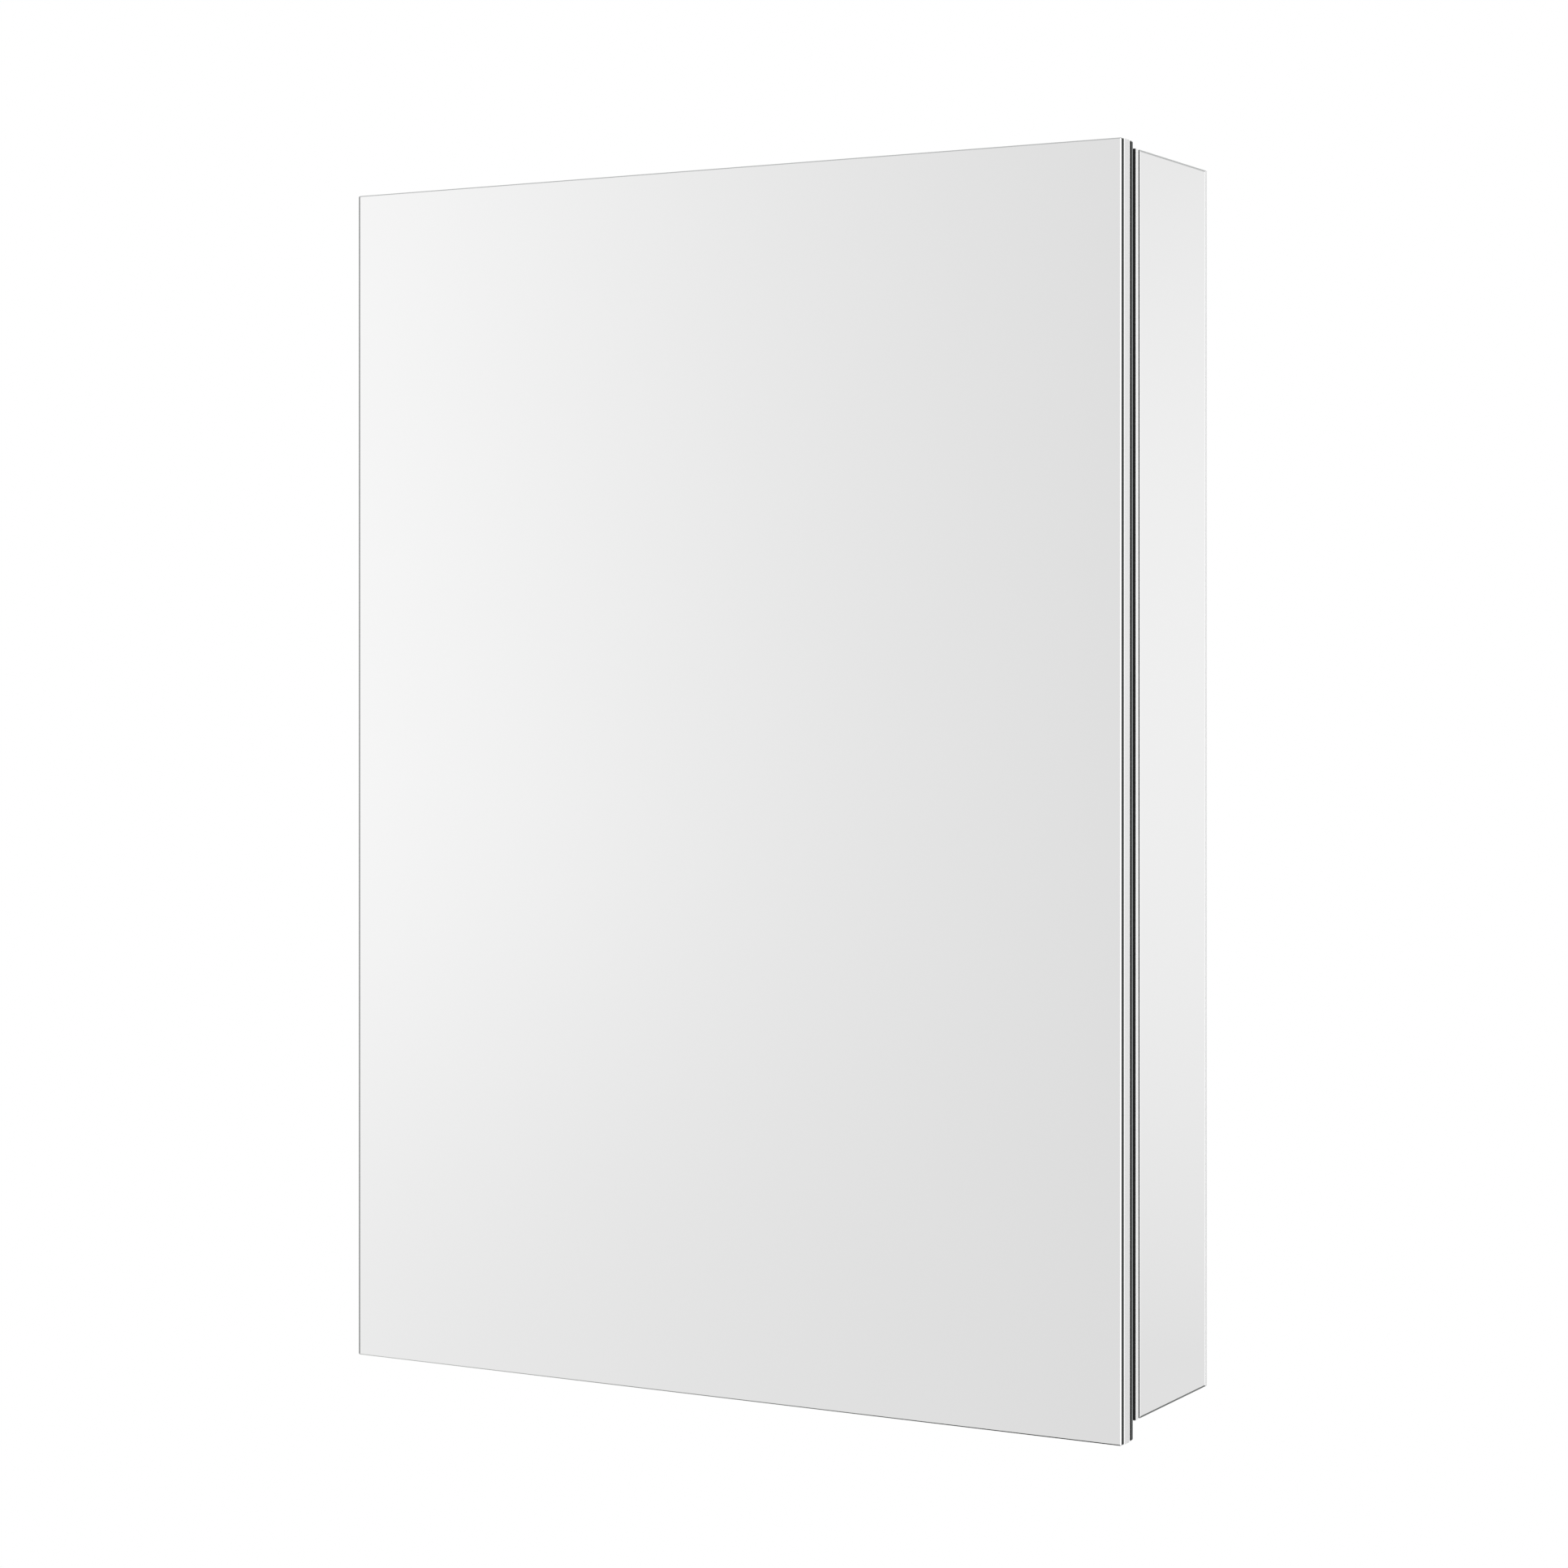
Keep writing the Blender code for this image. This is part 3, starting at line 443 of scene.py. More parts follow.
def anodised(name, dark, light, rough_low, rough_high, stretch):
    """Satin anodised aluminium, brushed along its length."""
    mat, g, shader = new_material(name)
    shader.inputs["Metallic"].default_value = 1.0
    lines = grain(g, 1500.0, stretch, 2.0)
    cloud = grain(g, 14.0, (1.0, 1.0, 0.3), 2.0)
    vary_color(g, shader, g.blend(0.5, lines, cloud), dark, light)
    g.links.new(g.smooth(lines, 0.2, 0.8, rough_low, rough_high), shader.inputs["Roughness"])
    bumpy(g, shader, lines, 0.000012)
    return mat


def plated(name, color, roughness):
    """Plated steel or zinc casting: faint orange peel under the plating."""
    mat, g, shader = new_material(name)
    shader.inputs["Metallic"].default_value = 1.0
    peel = grain(g, 650.0, (1.0, 1.0, 1.0), 3.0)
    vary_color(g, shader, peel, [c * 0.90 for c in color], color)
    g.links.new(g.smooth(peel, 0.3, 0.7, roughness * 0.8, roughness * 1.25),
                shader.inputs["Roughness"])
    bumpy(g, shader, peel, 0.00003)
    return mat


def moulded(name, dark, light, roughness, scale=1800.0, depth=0.00003, shine=0.5):
    """Moulded plastic or rubber with a fine spark-eroded texture."""
    mat, g, shader = new_material(name)
    shader.inputs["Specular IOR Level"].default_value = shine
    skin = grain(g, scale, (1.0, 1.0, 1.0), 2.0)
    vary_color(g, shader, skin, dark, light)
    shader.inputs["Roughness"].default_value = roughness
    bumpy(g, shader, skin, depth)
    return mat


def clear_glass(name, tint, roughness):
    """Glass whose tint wavers slightly."""
    mat, g, shader = new_material(name)
    swirl = grain(g, 6.0, (1.0, 1.0, 1.0), 1.0)
    vary_color(g, shader, swirl, [c * 0.985 for c in tint], tint)
    shader.inputs["Transmission Weight"].default_value = 1.0
    shader.inputs["IOR"].default_value = 1.5
    shader.inputs["Roughness"].default_value = roughness
    return mat


def make_materials():
    """All finishes by short name."""
    along_z = (1.0, 1.0, 0.012)
    along_x = (0.012, 1.0, 1.0)
    return {
        "mirror": silver("mirror_silver", 0.93),
        "arris": polished_arris("mirror_arris", 0.97, 0.10),
        "arris_top": ground_glass("mirror_arris_top", (0.40, 0.41, 0.41), (0.52, 0.53, 0.53), 0.2),
        # The next finish is the top arris's ground glass made nearly black: painted shade for the
        # chamfers that face down or away from the light.
        "arris_dark_painted_shade": ground_glass("mirror_arris_dark_painted_shade", (0.02, 0.025, 0.022), (0.06, 0.07, 0.065),
                                  0.3),
        "arris_painted_shade_ramp": painted_shade_ramp_arris("mirror_arris_painted_shade_ramp"),
        "edge": ground_glass("mirror_edge", (0.008, 0.011, 0.010), (0.022, 0.028, 0.025), 0.30,
                             0.04),
        "edge_thin": ground_glass("back_mirror_edge", (0.10, 0.11, 0.11), (0.17, 0.18, 0.18),
                                  0.25),
        "backing": moulded("mirror_backing", (0.22, 0.23, 0.24), (0.30, 0.31, 0.32), 0.6),
        # near-black band along the rear of the back mirror's edges
        "dark_band": moulded("mirror_dark_band", (0.002, 0.002, 0.002), (0.004, 0.004, 0.004), 0.8,
                        shine=0.02),
        "alu_door": anodised("door_anodised", (0.77, 0.77, 0.77), (0.85, 0.85, 0.85),
                             0.16, 0.26, along_z),
        "alu_bright": polished_arris("door_anodised_edge", 0.97, 0.12),
        "alu_rail": anodised("rail_anodised", (0.80, 0.80, 0.80), (0.88, 0.88, 0.88),
                             0.16, 0.26, along_x),
        "alu_wall": anodised("wall_anodised", (0.88, 0.88, 0.88), (0.96, 0.96, 0.96),
                             0.20, 0.32, along_z),
        "alu_lip": anodised("lip_anodised", (0.74, 0.74, 0.74), (0.82, 0.82, 0.82),
                            0.20, 0.32, along_z),
        "alu_deck": anodised("deck_anodised", (0.88, 0.88, 0.88), (0.96, 0.96, 0.96),
                             0.20, 0.32, along_x),
        "sheet": moulded("back_coat", (0.70, 0.71, 0.72), (0.76, 0.77, 0.78), 0.5, 900.0, 0.00006),
        "rubber": moulded("seal_rubber", (0.006, 0.006, 0.006), (0.014, 0.014, 0.014), 0.62,
                          shine=0.12),
        "shelf": clear_glass("shelf_glass", (0.97, 0.99, 0.98), 0.0),
        "shelf_edge": clear_glass("shelf_glass_edge", (0.45, 0.78, 0.68), 0.08),
        "nickel": plated("nickel_steel", (0.74, 0.73, 0.71), 0.20),
        "zinc": plated("nickel_zinc", (0.66, 0.66, 0.65), 0.28),
        "screw": plated("zinc_screw", (0.60, 0.61, 0.62), 0.26),
        "white": moulded("white_plastic", (0.80, 0.80, 0.79), (0.84, 0.84, 0.83), 0.42),
        "magnet": moulded("magnet_case", (0.035, 0.035, 0.037), (0.055, 0.055, 0.058), 0.45),
        "ferrite": moulded("magnet_ferrite", (0.018, 0.018, 0.019), (0.03, 0.03, 0.031), 0.55,
                           1200.0, 0.00005),
        "board": moulded("core_board", (0.42, 0.31, 0.20), (0.52, 0.40, 0.27), 0.85, 300.0,
                         0.0001),
    }


# ----------------------------------------------------------------------------
# Mesh helpers
# ----------------------------------------------------------------------------
def link_piece(name, bm, mats, node, smooth_angle=30.0):
    """Make a piece that stands for a CAD node and rides on the node's body."""
    mesh = bpy.data.meshes.new(name)
    bm.to_mesh(mesh)
    bm.free()
    for mat in mats:
        mesh.materials.append(mat)
    ob = bpy.data.objects.new(name, mesh)
    bpy.context.scene.collection.objects.link(ob)
    mesh.shade_smooth()
    mesh.set_sharp_from_angle(angle=math.radians(smooth_angle))
    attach(ob, BODY_OF[node])
    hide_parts(node)
    return ob


def keep_flats(ob):
    """Weight the normals by face area, so that broken edges don't shade the flat faces."""
    mod = ob.modifiers.new("flats", 'WEIGHTED_NORMAL')
    mod.mode = 'FACE_AREA'
    mod.weight = 100
    mod.keep_sharp = True


def cad_mesh(node):
    """The node's solid as a clean bmesh: welded, and without its triangulation."""
    bm = bmesh.new()
    bm.from_mesh(frame["nodes"][node].data)
    bmesh.ops.remove_doubles(bm, verts=bm.verts, dist=WELD)
    bmesh.ops.dissolve_limit(bm, angle_limit=math.radians(1.0), verts=bm.verts, edges=bm.edges)
    return bm


def break_edges(bm, width, angle=32.0, segments=2):
    """Round every edge whose faces meet at more than an angle in degrees."""
    sharp = [e for e in bm.edges
             if len(e.link_faces) == 2 and e.calc_face_angle(0.0) > math.radians(angle)]
    bmesh.ops.bevel(bm, geom=sharp, offset=width, offset_type='OFFSET', segments=segments,
                    affect='EDGES', profile=0.5, clamp_overlap=True)
    bmesh.ops.dissolve_degenerate(bm, dist=TINY / 10, edges=bm.edges)


def refine(node, mat, width=METAL_EDGE, segments=2):
    """The node's own shape with its edges broken and a finish on it."""
    bm = cad_mesh(node)
    if width > 0:
        break_edges(bm, width, segments=segments)
    ob = link_piece(node + "_look", bm, [mat], node, 50.0 if width > 0 else 30.0)
    if width > 0:
        keep_flats(ob)
    return ob


def box_mesh(lo, hi):
    """Block between two corners."""
    bm = bmesh.new()
    bmesh.ops.create_cube(bm, size=1.0)
    for v in bm.verts:
        v.co = Vector([hi[i] if v.co[i] > 0 else lo[i] for i in range(3)])
    return bm


def slice_off(bm, point, normal, index):
    """Cut a convex mesh by a plane, close it, and give the new face a material index."""
    parts = list(bm.verts) + list(bm.edges) + list(bm.faces)
    cut = bmesh.ops.bisect_plane(bm, geom=parts, dist=BISECT_TOL, plane_co=point,
                                 plane_no=normal, clear_outer=True)
    rim = [e for e in cut["geom_cut"] if isinstance(e, bmesh.types.BMEdge)]
    if rim:
        for face in bmesh.ops.contextual_create(bm, geom=rim)["faces"]:
            face.material_index = index


def round_corners(bm, along, radius, chosen):
    """Round the edges that run along an axis (0, 1 or 2) and whose middle is chosen."""
    edges = []
    for e in bm.edges:
        a, b = (v.co for v in e.verts)
        if abs((b - a).normalized()[along]) > 0.999 and chosen((a + b) / 2):
            edges.append(e)
    bmesh.ops.bevel(bm, geom=edges, offset=radius, offset_type='OFFSET', segments=6,
                    affect='EDGES', profile=0.5, clamp_overlap=True)


def lathe(profile, start, along, steps=40):
    """Turn a profile of (radius, distance) about a line through start.

    A radius may be a function of the angle. A profile that ends at its first point
    makes a ring.
    """
    bm = bmesh.new()
    side = along.orthogonal().normalized()
    other = along.cross(side)
    ring_shaped = profile[0] == profile[-1]
    rings = []
    for radius, dist in profile[:-1] if ring_shaped else profile:
        base = start + along * dist
        if radius == 0.0:
            rings.append([bm.verts.new(base)] * steps)
            continue
        ring = []
        for i in range(steps):
            ang = 2 * math.pi * i / steps
            r = radius(ang) if callable(radius) else radius
            ring.append(bm.verts.new(base + side * r * math.cos(ang) + other * r * math.sin(ang)))
        rings.append(ring)
    if ring_shaped:
        rings.append(rings[0])
    for a, b in zip(rings, rings[1:]):
        for i in range(steps):
            j = (i + 1) % steps
            bm.faces.new(dict.fromkeys((a[i], a[j], b[j], b[i])))
    bmesh.ops.recalc_face_normals(bm, faces=bm.faces)
    return bm


def carve(bm, cutter):
    """Subtract a closed mesh from another one. Both are used up."""
    obs = []
    for source in (bm, cutter):
        mesh = bpy.data.meshes.new("carving")
        bmesh.ops.recalc_face_normals(source, faces=source.faces)
        source.to_mesh(mesh)
        source.free()
        ob = bpy.data.objects.new("carving", mesh)
        bpy.context.scene.collection.objects.link(ob)
        obs.append(ob)
    mod = obs[0].modifiers.new("carve", 'BOOLEAN')
    mod.operation = 'DIFFERENCE'
    mod.solver = 'EXACT'
    mod.object = obs[1]
    bpy.context.view_layer.update()
    result = bmesh.new()
    result.from_object(obs[0], bpy.context.evaluated_depsgraph_get())
    for ob in obs:
        mesh = ob.data
        bpy.data.objects.remove(ob, do_unlink=True)
        bpy.data.meshes.remove(mesh)
    return result


def gather(parts):
    """Join closed meshes into one. Each comes with the material index of its faces."""
    whole = bmesh.new()
    for bm, index in parts:
        for face in bm.faces:
            face.material_index = index
        mesh = bpy.data.meshes.new("part")
        bm.to_mesh(mesh)
        bm.free()
        whole.from_mesh(mesh)
        bpy.data.meshes.remove(mesh)
    return whole


def span(node, along):
    """A node as a round bar: the middle of the end where a walk along it starts, its
    length and its radius."""
    lo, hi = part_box(node)
    k = max(range(3), key=lambda i: abs(along[i]))
    length = hi[k] - lo[k]
    radius = (hi - lo)[(k + 1) % 3] / 2
    return (lo + hi) / 2 - along * (length / 2), length, radius


def split_at(bm, point, normal):
    """Cut faces along a plane without removing anything."""
    parts = list(bm.verts) + list(bm.edges) + list(bm.faces)
    bmesh.ops.bisect_plane(bm, geom=parts, dist=BISECT_TOL, plane_co=point, plane_no=normal)


# ----------------------------------------------------------------------------
# Mirrors
# ----------------------------------------------------------------------------
# Material indices of a mirror; the last one is only on the front mirror of the door.
SILVER, EDGE, BACKING, DARK_BAND_FACE, ARRIS_SIDE, ARRIS_TOP, ARRIS_LOW, ARRIS_LEFT = range(8)


def pane(node, facing, mats, arris, corner=0.0, dark_band=0.0, grow=(0.0, 0.0, 0.0)):
    """A mirror: silvered face, chamfers round it, ground edges, painted back.

    facing is the direction in which the silvered face looks. arris holds the width and
    depth of the chamfers on the low side, high side, top and bottom. corner is the
    safety cut at the four corners, and the next argument the depth of a near-black band
    along the rear of the edges. grow moves the high corner, to close a bonded joint.
    """
    lo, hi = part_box(node)
    hi = hi + Vector(grow)
    out = Vector(facing)
    axis = max(range(3), key=lambda i: abs(facing[i]))
    thick = (hi - lo)[axis]
    bm = box_mesh(lo, hi)
    for f in bm.faces:
        towards = f.normal.dot(out)
        f.material_index = SILVER if towards > 0.9 else BACKING if towards < -0.9 else EDGE
    across = Vector([1.0 if i == 1 - axis else 0.0 for i in range(3)])
    up = Vector((0.0, 0.0, 1.0))

    def edge_point(side, depth):
        """Point at a depth behind the silvered face, on the edges that side looks at."""
        toward = side + out
        return Vector([hi[i] if toward[i] > 0 else lo[i] for i in range(3)]) - out * depth

    for s in (across, -across):
        for t in (up, -up):
            slice_off(bm, edge_point(s + t, 0.0) - s * corner, (s + t).normalized(), EDGE)
    indices = (ARRIS_SIDE, ARRIS_SIDE, ARRIS_TOP, ARRIS_LOW)
    for side, index, (wide, deep) in zip((-across, across, up, -up), indices, arris):
        steep = wide / deep
        slice_off(bm, edge_point(side, deep), (out * steep + side).normalized(), index)
        for share in ROUNDING:
            normal = (out * (steep * share) + side).normalized()
            base = edge_point(side, 0.0) - side * wide if share > 1.0 else edge_point(side, deep)
            slice_off(bm, base - normal * deep * ROUNDING_CUT, normal, index)
        slice_off(bm, edge_point(side, thick - REAR_ARRIS), (side - out).normalized(), EDGE)
    if dark_band > 0:
        back = edge_point(-up, thick)
        split_at(bm, back + out * dark_band, out)
        for f in bm.faces:
            if f.material_index == EDGE and (f.calc_center_median() - back).dot(out) < dark_band:
                f.material_index = DARK_BAND_FACE
    return link_piece(node + "_look", bm, mats, node, 0.5)


def add_mirrors(m):
    """The door's two mirrors and the side mirrors."""
    # The low finish, on the bottom chamfers, carries painted shade: nearly black, or ramping along
    # the edge.
    def finishes(edge, low):
        return [m["mirror"], edge, m["backing"], m["dark_band"], m["arris"], m["arris_top"], low]

    door = pane("door_front_mirror", (0, -1, 0), finishes(m["edge"], m["arris_painted_shade_ramp"]),
                (LEFT_ARRIS, FRONT_ARRIS, FRONT_ARRIS, FRONT_ARRIS), CORNER_CUT)
    # The front mirror's left chamfer gets the nearly black painted-shade finish as well.
    door.data.materials.append(m["arris_dark_painted_shade"])
    for face in door.data.polygons:
        if face.material_index == ARRIS_SIDE and face.normal.x < -0.2:
            face.material_index = ARRIS_LEFT
    pane("door_back_mirror", (0, 1, 0), finishes(m["edge_thin"], m["arris_dark_painted_shade"]),
         (THIN_ARRIS,) * 4, CORNER_CUT, DARK_BAND)
    for node, x in (("side_mirror_right", 1), ("side_mirror_left", -1)):
        pane(node, (x, 0, 0), finishes(m["edge"], m["arris_dark_painted_shade"]),
             (SIDE_ARRIS, SIDE_REAR, SIDE_FLANK, SIDE_FLANK), CORNER_CUT / 2,
             grow=(0.0, CLOSE_UP, 0.0))


def add_inner_mirror(m):
    """Mirror inside the cabinet, with drilled holes for the bushes."""
    node = "inner_back_mirror"
    bm = cad_mesh(node)
    for face in bm.faces:
        face.material_index = 0 if face.normal.y < -0.999 else 2 if face.normal.y > 0.999 else 1
    link_piece(node + "_look", bm, [m["mirror"], m["arris_top"], m["backing"]], node)


# ----------------------------------------------------------------------------
# Seal, shelves, hardware
# ----------------------------------------------------------------------------
def add_seal(m):
    """Rubber profile: a flat foot on the body and a soft round lip towards the door."""
    node = "dust_seal"
    lo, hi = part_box(node)
    radius = SEAL_W / 2 - SEAL_FOOT[-1][0]
    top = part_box("door_back_mirror")[1].y + SEAL_CLEAR + radius
    profile = [(inset, hi.y - height) for inset, height in SEAL_FOOT]
    for i in range(SEAL_STEPS + 1):
        ang = math.pi * i / SEAL_STEPS
        profile.append((SEAL_W / 2 - radius * math.cos(ang), top - radius * math.sin(ang)))
    profile += [(SEAL_W - inset, hi.y - height) for inset, height in reversed(SEAL_FOOT)]
    bm = bmesh.new()
    rings = []
    for sx, sz in ((-1, -1), (1, -1), (1, 1), (-1, 1)):
        ring = []
        for inset, y in profile:
            x = (lo.x + inset) if sx < 0 else (hi.x - inset)
            z = (lo.z + inset) if sz < 0 else (hi.z - inset)
            ring.append(bm.verts.new((x, y, z)))
        rings.append(ring)
    count = len(profile)
    for a, b in zip(rings, rings[1:] + rings[:1]):
        for i in range(count):
            j = (i + 1) % count
            bm.faces.new((a[i], a[j], b[j], b[i]))
    bmesh.ops.recalc_face_normals(bm, faces=bm.faces)
    link_piece(node + "_look", bm, [m["rubber"]], node)


def add_stud(node, m):
    """Shelf stud with a rounded tip and a soft sleeve in a groove, so the glass won't slip."""
    along = Vector((1.0 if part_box(node)[0].x > 0 else -1.0, 0.0, 0.0))
    start, length, r = span(node, along)
    neck = length - STUD_TAIL_L
    tip = [(r * share, dist) for share, dist in STUD_TIP]
    a, b = STUD_SLEEVE
    groove = [(r - inset, a + dist) for inset, dist in STUD_GROOVE] + [(r, (a + b) / 2)]
    groove += [(r - inset, b - dist) for inset, dist in reversed(STUD_GROOVE)]
    tail = [(r, neck - STUD_EDGE), (r - STUD_EDGE, neck), (STUD_TAIL_R, neck),
            (STUD_TAIL_R, length - STUD_TAIL_EDGE), (STUD_TAIL_R - STUD_TAIL_EDGE, length),
            (0.0, length)]
    bm = lathe(tip + groove + tail, start, along)
    for face in bm.faces:
        place = (face.calc_center_median() - start).dot(along)
        face.material_index = 1 if a + STUD_LIP < place < b - STUD_LIP else 0
    link_piece(node + "_look", bm, [m["nickel"], m["white"]], node)


def add_bushes(m):
    """Flanged bushes of the wall screws, with soft edges and a dish round the bore."""
    for i in range(1, 5):
        node = "wall_bush_%d" % i
        along = Vector((0.0, -1.0, 0.0))
        start, length, r = span(node, along)
        under = length - BUSH_FLANGE_T
        e = BUSH_EDGE
        profile = [(BUSH_BORE_R, 0.0), (BUSH_SHANK_R - e, 0.0), (BUSH_SHANK_R, e),
                   (BUSH_SHANK_R, under), (r - e, under), (r, under + e),
                   (r, under + BUSH_RIM[0]), (r - e, under + BUSH_RIM[1]),
                   (r - BUSH_CROWN[0], length - e), (r - BUSH_CROWN[1], length),
                   (BUSH_DISH_R, length), (BUSH_DISH_R - e, length - e),
                   (BUSH_BORE_R + e, BUSH_BORE_L), (BUSH_BORE_R, BUSH_BORE_L - e),
                   (BUSH_BORE_R, 0.0)]
        link_piece(node + "_look", lathe(profile, start, along, 56), [m["white"]], node)


def add_shelves(m):
    """Clear shelves whose edges show the green of the glass, each on four studs."""
    for i in (1, 2):
        node = "shelf_%d" % i
        bm = cad_mesh(node)
        for face in bm.faces:
            face.material_index = 0 if abs(face.normal.z) > 0.9 else 1
        link_piece(node + "_look", bm, [m["shelf"], m["shelf_edge"]], node)
        for k in range(1, 5):
            add_stud("shelf_%d_support_%d" % (i, k), m)


def cross_recess(bm, centre, axis):
    """Cut a cross recess into a screw head. axis points out of the head."""
    u = axis.orthogonal().normalized()
    v = axis.cross(u)
    for long_dir, short_dir in ((u, v), (v, u)):
        arm = bmesh.new()
        corners = []
        for level, scale in ((axis * RECESS_ABOVE, 1.0), (-axis * RECESS_DEPTH, RECESS_TAPER)):
            for sl, ss in ((-1, -1), (1, -1), (1, 1), (-1, 1)):
                reach = long_dir * (sl * RECESS_ARM * scale) + short_dir * (ss * RECESS_HALF_W)
                corners.append(arm.verts.new(centre + level + reach))
        arm.faces.new(corners[:4])
        arm.faces.new(corners[4:])
        for i in range(4):
            j = (i + 1) % 4
            arm.faces.new((corners[i], corners[j], corners[4 + j], corners[4 + i]))
        bm = carve(bm, arm)
    return bm


def thread_radius(dist, fade, ang):
    """Radius of a helical thread at a distance along the screw and an angle round it."""
    turn = (dist / THREAD_PITCH - ang / (2 * math.pi)) % 1.0
    ridge = max(0.0, 1.0 - abs(turn - 0.5) * THREAD_FLANK)
    return SCREW_CORE_R + (SCREW_R - SCREW_CORE_R) * ridge * fade


def thread(start, end):
    """Profile of a thread between two distances from the head's face; its ends fade out."""
    profile = []
    count = round((end - start) / THREAD_PITCH * THREAD_STEPS)
    for i in range(count + 1):
        dist = start + (end - start) * i / count
        fade = min(1.0, (dist - start) / THREAD_PITCH, (end - dist) / THREAD_PITCH)
        profile.append((functools.partial(thread_radius, dist, fade), dist))
    return profile


def add_screw(node, outward, head, m):
    """Screw with a cross recess. head holds points of its profile as (share of r, depth)."""
    start, length, r = span(node, -outward)
    profile = [(0.0, 0.0)] + [(r * share, depth) for share, depth in head]
    neck = profile[-1][1]
    plain, cut = SCREW_NECK
    profile += [(SCREW_R, neck + SCREW_STEP), (SCREW_R, neck + plain)]
    profile += thread(neck + cut, length - SCREW_TIP)
    share, height = SCREW_POINT
    profile += [(SCREW_CORE_R * share, length - height), (0.0, length)]
    bm = cross_recess(lathe(profile, start, -outward, 24), start, outward)
    link_piece(node + "_look", bm, [m["screw"]], node, 40.0)


def add_screws(m):
    """Screws of the hinges and of the body."""
    for tag in ("upper", "lower"):
        for i in (1, 2):
            add_screw("hinge_%s_cup_screw_%d" % (tag, i), Vector((0, 1, 0)), EAR_HEAD, m)
            add_screw("hinge_%s_plate_screw_%d" % (tag, i), Vector((1, 0, 0)), PAN_HEAD, m)
        add_screw("hinge_%s_clamp_screw" % tag, Vector((1, 0, 0)), PAN_HEAD, m)
    for level, z in (("top", 1), ("bottom", -1)):
        for side in ("left", "right"):
            add_screw("body_screw_%s_%s" % (level, side), Vector((0, 0, z)), BODY_HEAD, m)


def add_hinges(m):
    """Cups with rounded ears, arms with rounded tails, plates with two guiding ribs."""
    for tag in ("upper", "lower"):
        name = "hinge_%s_" % tag
        lo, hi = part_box(name + "cup")
        bm = cad_mesh(name + "cup")
        round_corners(bm, 1, EAR_ROUND, lambda c: min(c.z - lo.z, hi.z - c.z) < TINY)
        finish_cast(bm, name + "cup", m["zinc"], EAR_EDGE)
        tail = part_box(name + "arm")[1].y
        bm = cad_mesh(name + "arm")
        round_corners(bm, 0, TAIL_ROUND, lambda c: tail - c.y < TINY)
        finish_cast(bm, name + "arm", m["nickel"], ARM_EDGE)
        finish_cast(plate_mesh(name), name + "plate", m["zinc"], PLATE_EDGE)
        along = Vector((0.0, 0.0, 1.0))
        start, length, r = span(name + "pin", along)
        e = r * PIN_EDGE
        rod = [(0.0, 0.0), (r - e, 0.0), (r, e), (r, length - e), (r - e, length), (0.0, length)]
        link_piece(name + "pin_look", lathe(rod, start, along, 32), [m["nickel"]], name + "pin")


def finish_cast(bm, node, mat, width):
    """Break the edges of a finished shape and put it in the node's place."""
    break_edges(bm, width)
    keep_flats(link_piece(node + "_look", bm, [mat], node, 50.0))


def plate_mesh(name):
    """Mounting plate of a hinge: rounded, with a rib on both sides of the arm."""
    lo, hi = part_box(name + "plate")
    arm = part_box(name + "arm")
    mid = (lo.z + hi.z) / 2
    outline = []
    for s in (-1, 1):
        edge = (hi.z - lo.z) / 2
        inner = (arm[1].z - arm[0].z) / 2 + RIB_GAP
        steps = [(edge, lo.x), (edge, hi.x), (inner + RIB_W, hi.x),
                 (inner + RIB_W - RIB_SLOPE, hi.x + RIB_H), (inner + RIB_SLOPE, hi.x + RIB_H),
                 (inner, hi.x)]
        points = [(x, mid + s * z) for z, x in steps]
        outline += points if s < 0 else points[::-1]
    bm = bmesh.new()
    rings = [[bm.verts.new((x, y, z)) for x, z in outline] for y in (lo.y, hi.y)]
    bm.faces.new(rings[0])
    bm.faces.new(rings[1])
    for i in range(len(outline)):
        j = (i + 1) % len(outline)
        bm.faces.new((rings[0][i], rings[0][j], rings[1][j], rings[1][i]))
    bmesh.ops.recalc_face_normals(bm, faces=bm.faces)
    round_corners(bm, 0, PLATE_ROUND, lambda c: min(c.z - lo.z, hi.z - c.z) < TINY)
    for screw in ("plate_screw_1", "plate_screw_2", "clamp_screw"):
        start = span(name + screw, Vector((1.0, 0.0, 0.0)))[0]
        start.x = lo.x - CUTTER_LEAD
        hole = [(0.0, 0.0), (SCREW_HOLE_R, 0.0), (SCREW_HOLE_R, DRILL_L), (0.0, DRILL_L)]
        bm = carve(bm, lathe(hole, start, Vector((1.0, 0.0, 0.0))))
    return bm


def catch_block(front, half):
    """Upright block in the catch's mouth, from the middle of its front to the mouth's floor."""
    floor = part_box("magnet_catch")[0].y + CATCH_WELL
    wide, high = half
    bm = box_mesh(Vector((front.x - wide, front.y, front.z - high)),
                  Vector((front.x + wide, floor, front.z + high)))
    break_edges(bm, BLOCK_EDGE)
    return bm


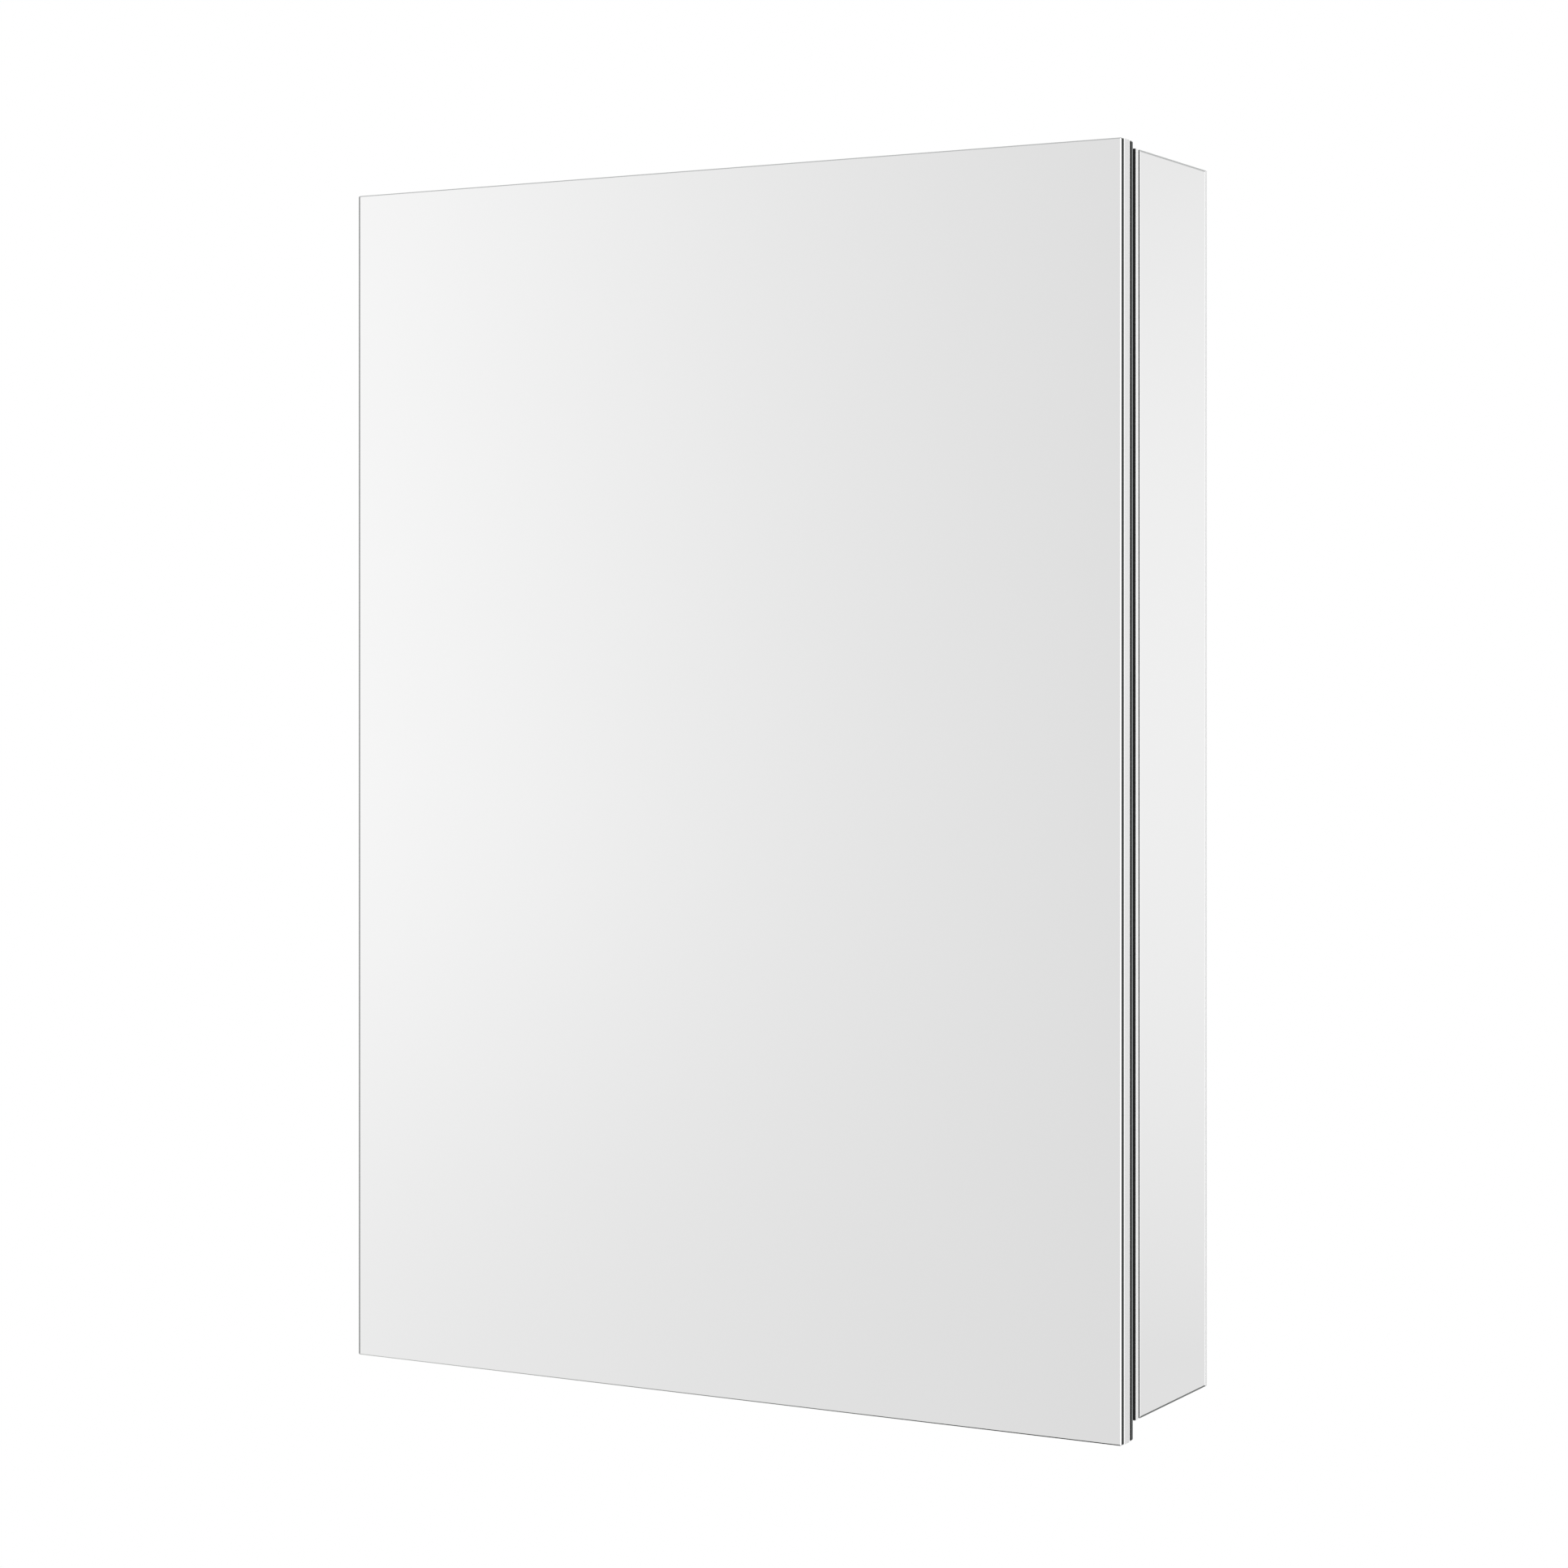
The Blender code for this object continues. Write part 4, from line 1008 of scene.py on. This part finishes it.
def add_catch(m):
    """Magnet catch: moulded case, two steel poles with the ferrite between, two screws."""
    node = "magnet_catch"
    lo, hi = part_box(node)
    mid = (lo + hi) / 2
    case = box_mesh(lo + Vector((CATCH_SKIN, CATCH_PROUD, 0.0)), hi)
    round_corners(case, 0, CATCH_ROUND, lambda c: True)
    well = Vector((mid.x, lo.y, mid.z))
    case = carve(case, box_mesh(well - CATCH_MOUTH,
                                well + CATCH_MOUTH + Vector((0.0, CATCH_WELL, 0.0))))
    parts = []
    outward = Vector((-1.0, 0.0, 0.0))
    for s in (-1, 1):
        point = Vector((lo.x + CATCH_SKIN, lo.y + CATCH_SCREW_Y, mid.z + s * CATCH_SCREW_Z))
        case = carve(case, lathe(CATCH_SINK, point, -outward))
        parts.append((cross_recess(lathe(CATCH_HEAD, point, -outward), point, outward), 3))
        parts.append((catch_block(well + Vector((s * POLE_X, 0.0, 0.0)), POLE_HALF), 1))
    break_edges(case, CATCH_EDGE)
    ferrite = catch_block(well + Vector((0.0, FERRITE_BACK, 0.0)), FERRITE_HALF)
    parts = [(case, 0), (ferrite, 2)] + parts
    ob = link_piece(node + "_look", gather(parts),
                    [m["magnet"], m["nickel"], m["ferrite"], m["screw"]], node, 40.0)
    keep_flats(ob)


def add_strike(m):
    """Strike plate of the catch, with rounded corners."""
    node = "strike_plate"
    bm = box_mesh(*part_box(node))
    round_corners(bm, 1, STRIKE_ROUND, lambda c: True)
    break_edges(bm, STRIKE_EDGE)
    keep_flats(link_piece(node + "_look", bm, [m["nickel"]], node, 50.0))


def add_back(m):
    """Sheet back with a shallow pressed bead that stiffens it."""
    node = "back_panel"
    lo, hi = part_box(node)
    left, right = lo.x + BEAD_INSET, hi.x - BEAD_INSET
    low, high = lo.z + BEAD_INSET, hi.z - BEAD_INSET
    cutter = bmesh.new()
    rings = []
    for n, (x, z) in enumerate(((right, high), (left, high), (left, low), (right, low))):
        sx = 1 if x == right else -1
        sz = 1 if z == high else -1
        centre = Vector((x - sx * BEAD_ROUND, 0.0, z - sz * BEAD_ROUND))
        for i in range(BEAD_STEPS + 1):
            ang = math.pi / 2 * (n + i / BEAD_STEPS)
            out = Vector((math.cos(ang), 0.0, math.sin(ang)))
            ring = []
            for across, depth in BEAD_SECTION:
                place = centre + out * (BEAD_ROUND + across)
                ring.append(cutter.verts.new((place.x, hi.y + depth, place.z)))
            rings.append(ring)
    for a, b in zip(rings, rings[1:] + rings[:1]):
        for i in range(len(BEAD_SECTION)):
            j = (i + 1) % len(BEAD_SECTION)
            cutter.faces.new((a[i], a[j], b[j], b[i]))
    bm = carve(cad_mesh(node), cutter)
    keep_flats(link_piece(node + "_look", bm, [m["sheet"]], node, 30.0))


def add_stile(node, side, m):
    """Door stile whose outer face has a shallow polished chamfer along both edges.

    The seats of the hinge cups' ears are rounded like the ears.
    """
    lo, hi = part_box(node)
    bm = cad_mesh(node)
    for tag in ("upper", "lower") if side < 0 else ():
        ends = [corner.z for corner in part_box("hinge_%s_cup" % tag)]
        round_corners(bm, 1, EAR_ROUND + EAR_SEAT_GAP,
                      lambda c: min(abs(c.z - z) for z in ends) < 2 * EAR_SEAT_GAP)
    front, rear = lo.y, hi.y
    for v in bm.verts:
        if v.co.y < front + TINY:
            v.co.y -= CLOSE_UP
        elif side > 0 and v.co.y > rear - TINY:
            v.co.y += CLOSE_UP
    lo.y -= CLOSE_UP
    hi.y += CLOSE_UP if side > 0 else 0.0
    wide, deep = STILE_FLANK
    outer = hi.x if side > 0 else lo.x
    slice_off(bm, Vector((outer, lo.y + wide, 0.0)), Vector((side * wide, -deep, 0.0)), 1)
    if side > 0:
        slice_off(bm, Vector((outer, hi.y - wide, 0.0)), Vector((side * wide, deep, 0.0)), 1)
    link_piece(node + "_look", bm, [m["alu_door"], m["alu_bright"]], node, 3.0)


def add_wall(node, m):
    """Side wall of the body; its rear lip has a duller finish."""
    wall = refine(node, m["alu_wall"])
    wall.data.materials.append(m["alu_lip"])
    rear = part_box(node)[1].y
    for face in wall.data.polygons:
        if rear - face.center.y < REAR_LIP and abs(face.normal.x) > 0.5:
            face.material_index = 1


def add_metalwork(m):
    """Body and door frame: the frame's own shapes with broken edges."""
    for side in ("left", "right"):
        add_wall("side_wall_" + side, m)
    refine("top_panel", m["alu_deck"])
    refine("bottom_panel", m["alu_deck"])
    add_stile("door_stile_free", 1, m)
    add_stile("door_stile_hinge", -1, m)
    refine("door_rail_top", m["alu_rail"])
    refine("door_rail_bottom", m["alu_rail"])
    refine("door_core", m["board"], 0.0)
    for level in ("top", "bottom"):
        for side in ("hinge", "free"):
            refine("door_key_%s_%s" % (level, side), m["zinc"], 0.0004)


# ----------------------------------------------------------------------------
# Build
# ----------------------------------------------------------------------------
add_camera()
add_studio()
add_floor()
add_key_light()
looks = make_materials()
add_mirrors(looks)
add_inner_mirror(looks)
add_seal(looks)
add_shelves(looks)
add_screws(looks)
add_hinges(looks)
add_catch(looks)
add_strike(looks)
add_bushes(looks)
add_back(looks)
add_metalwork(looks)
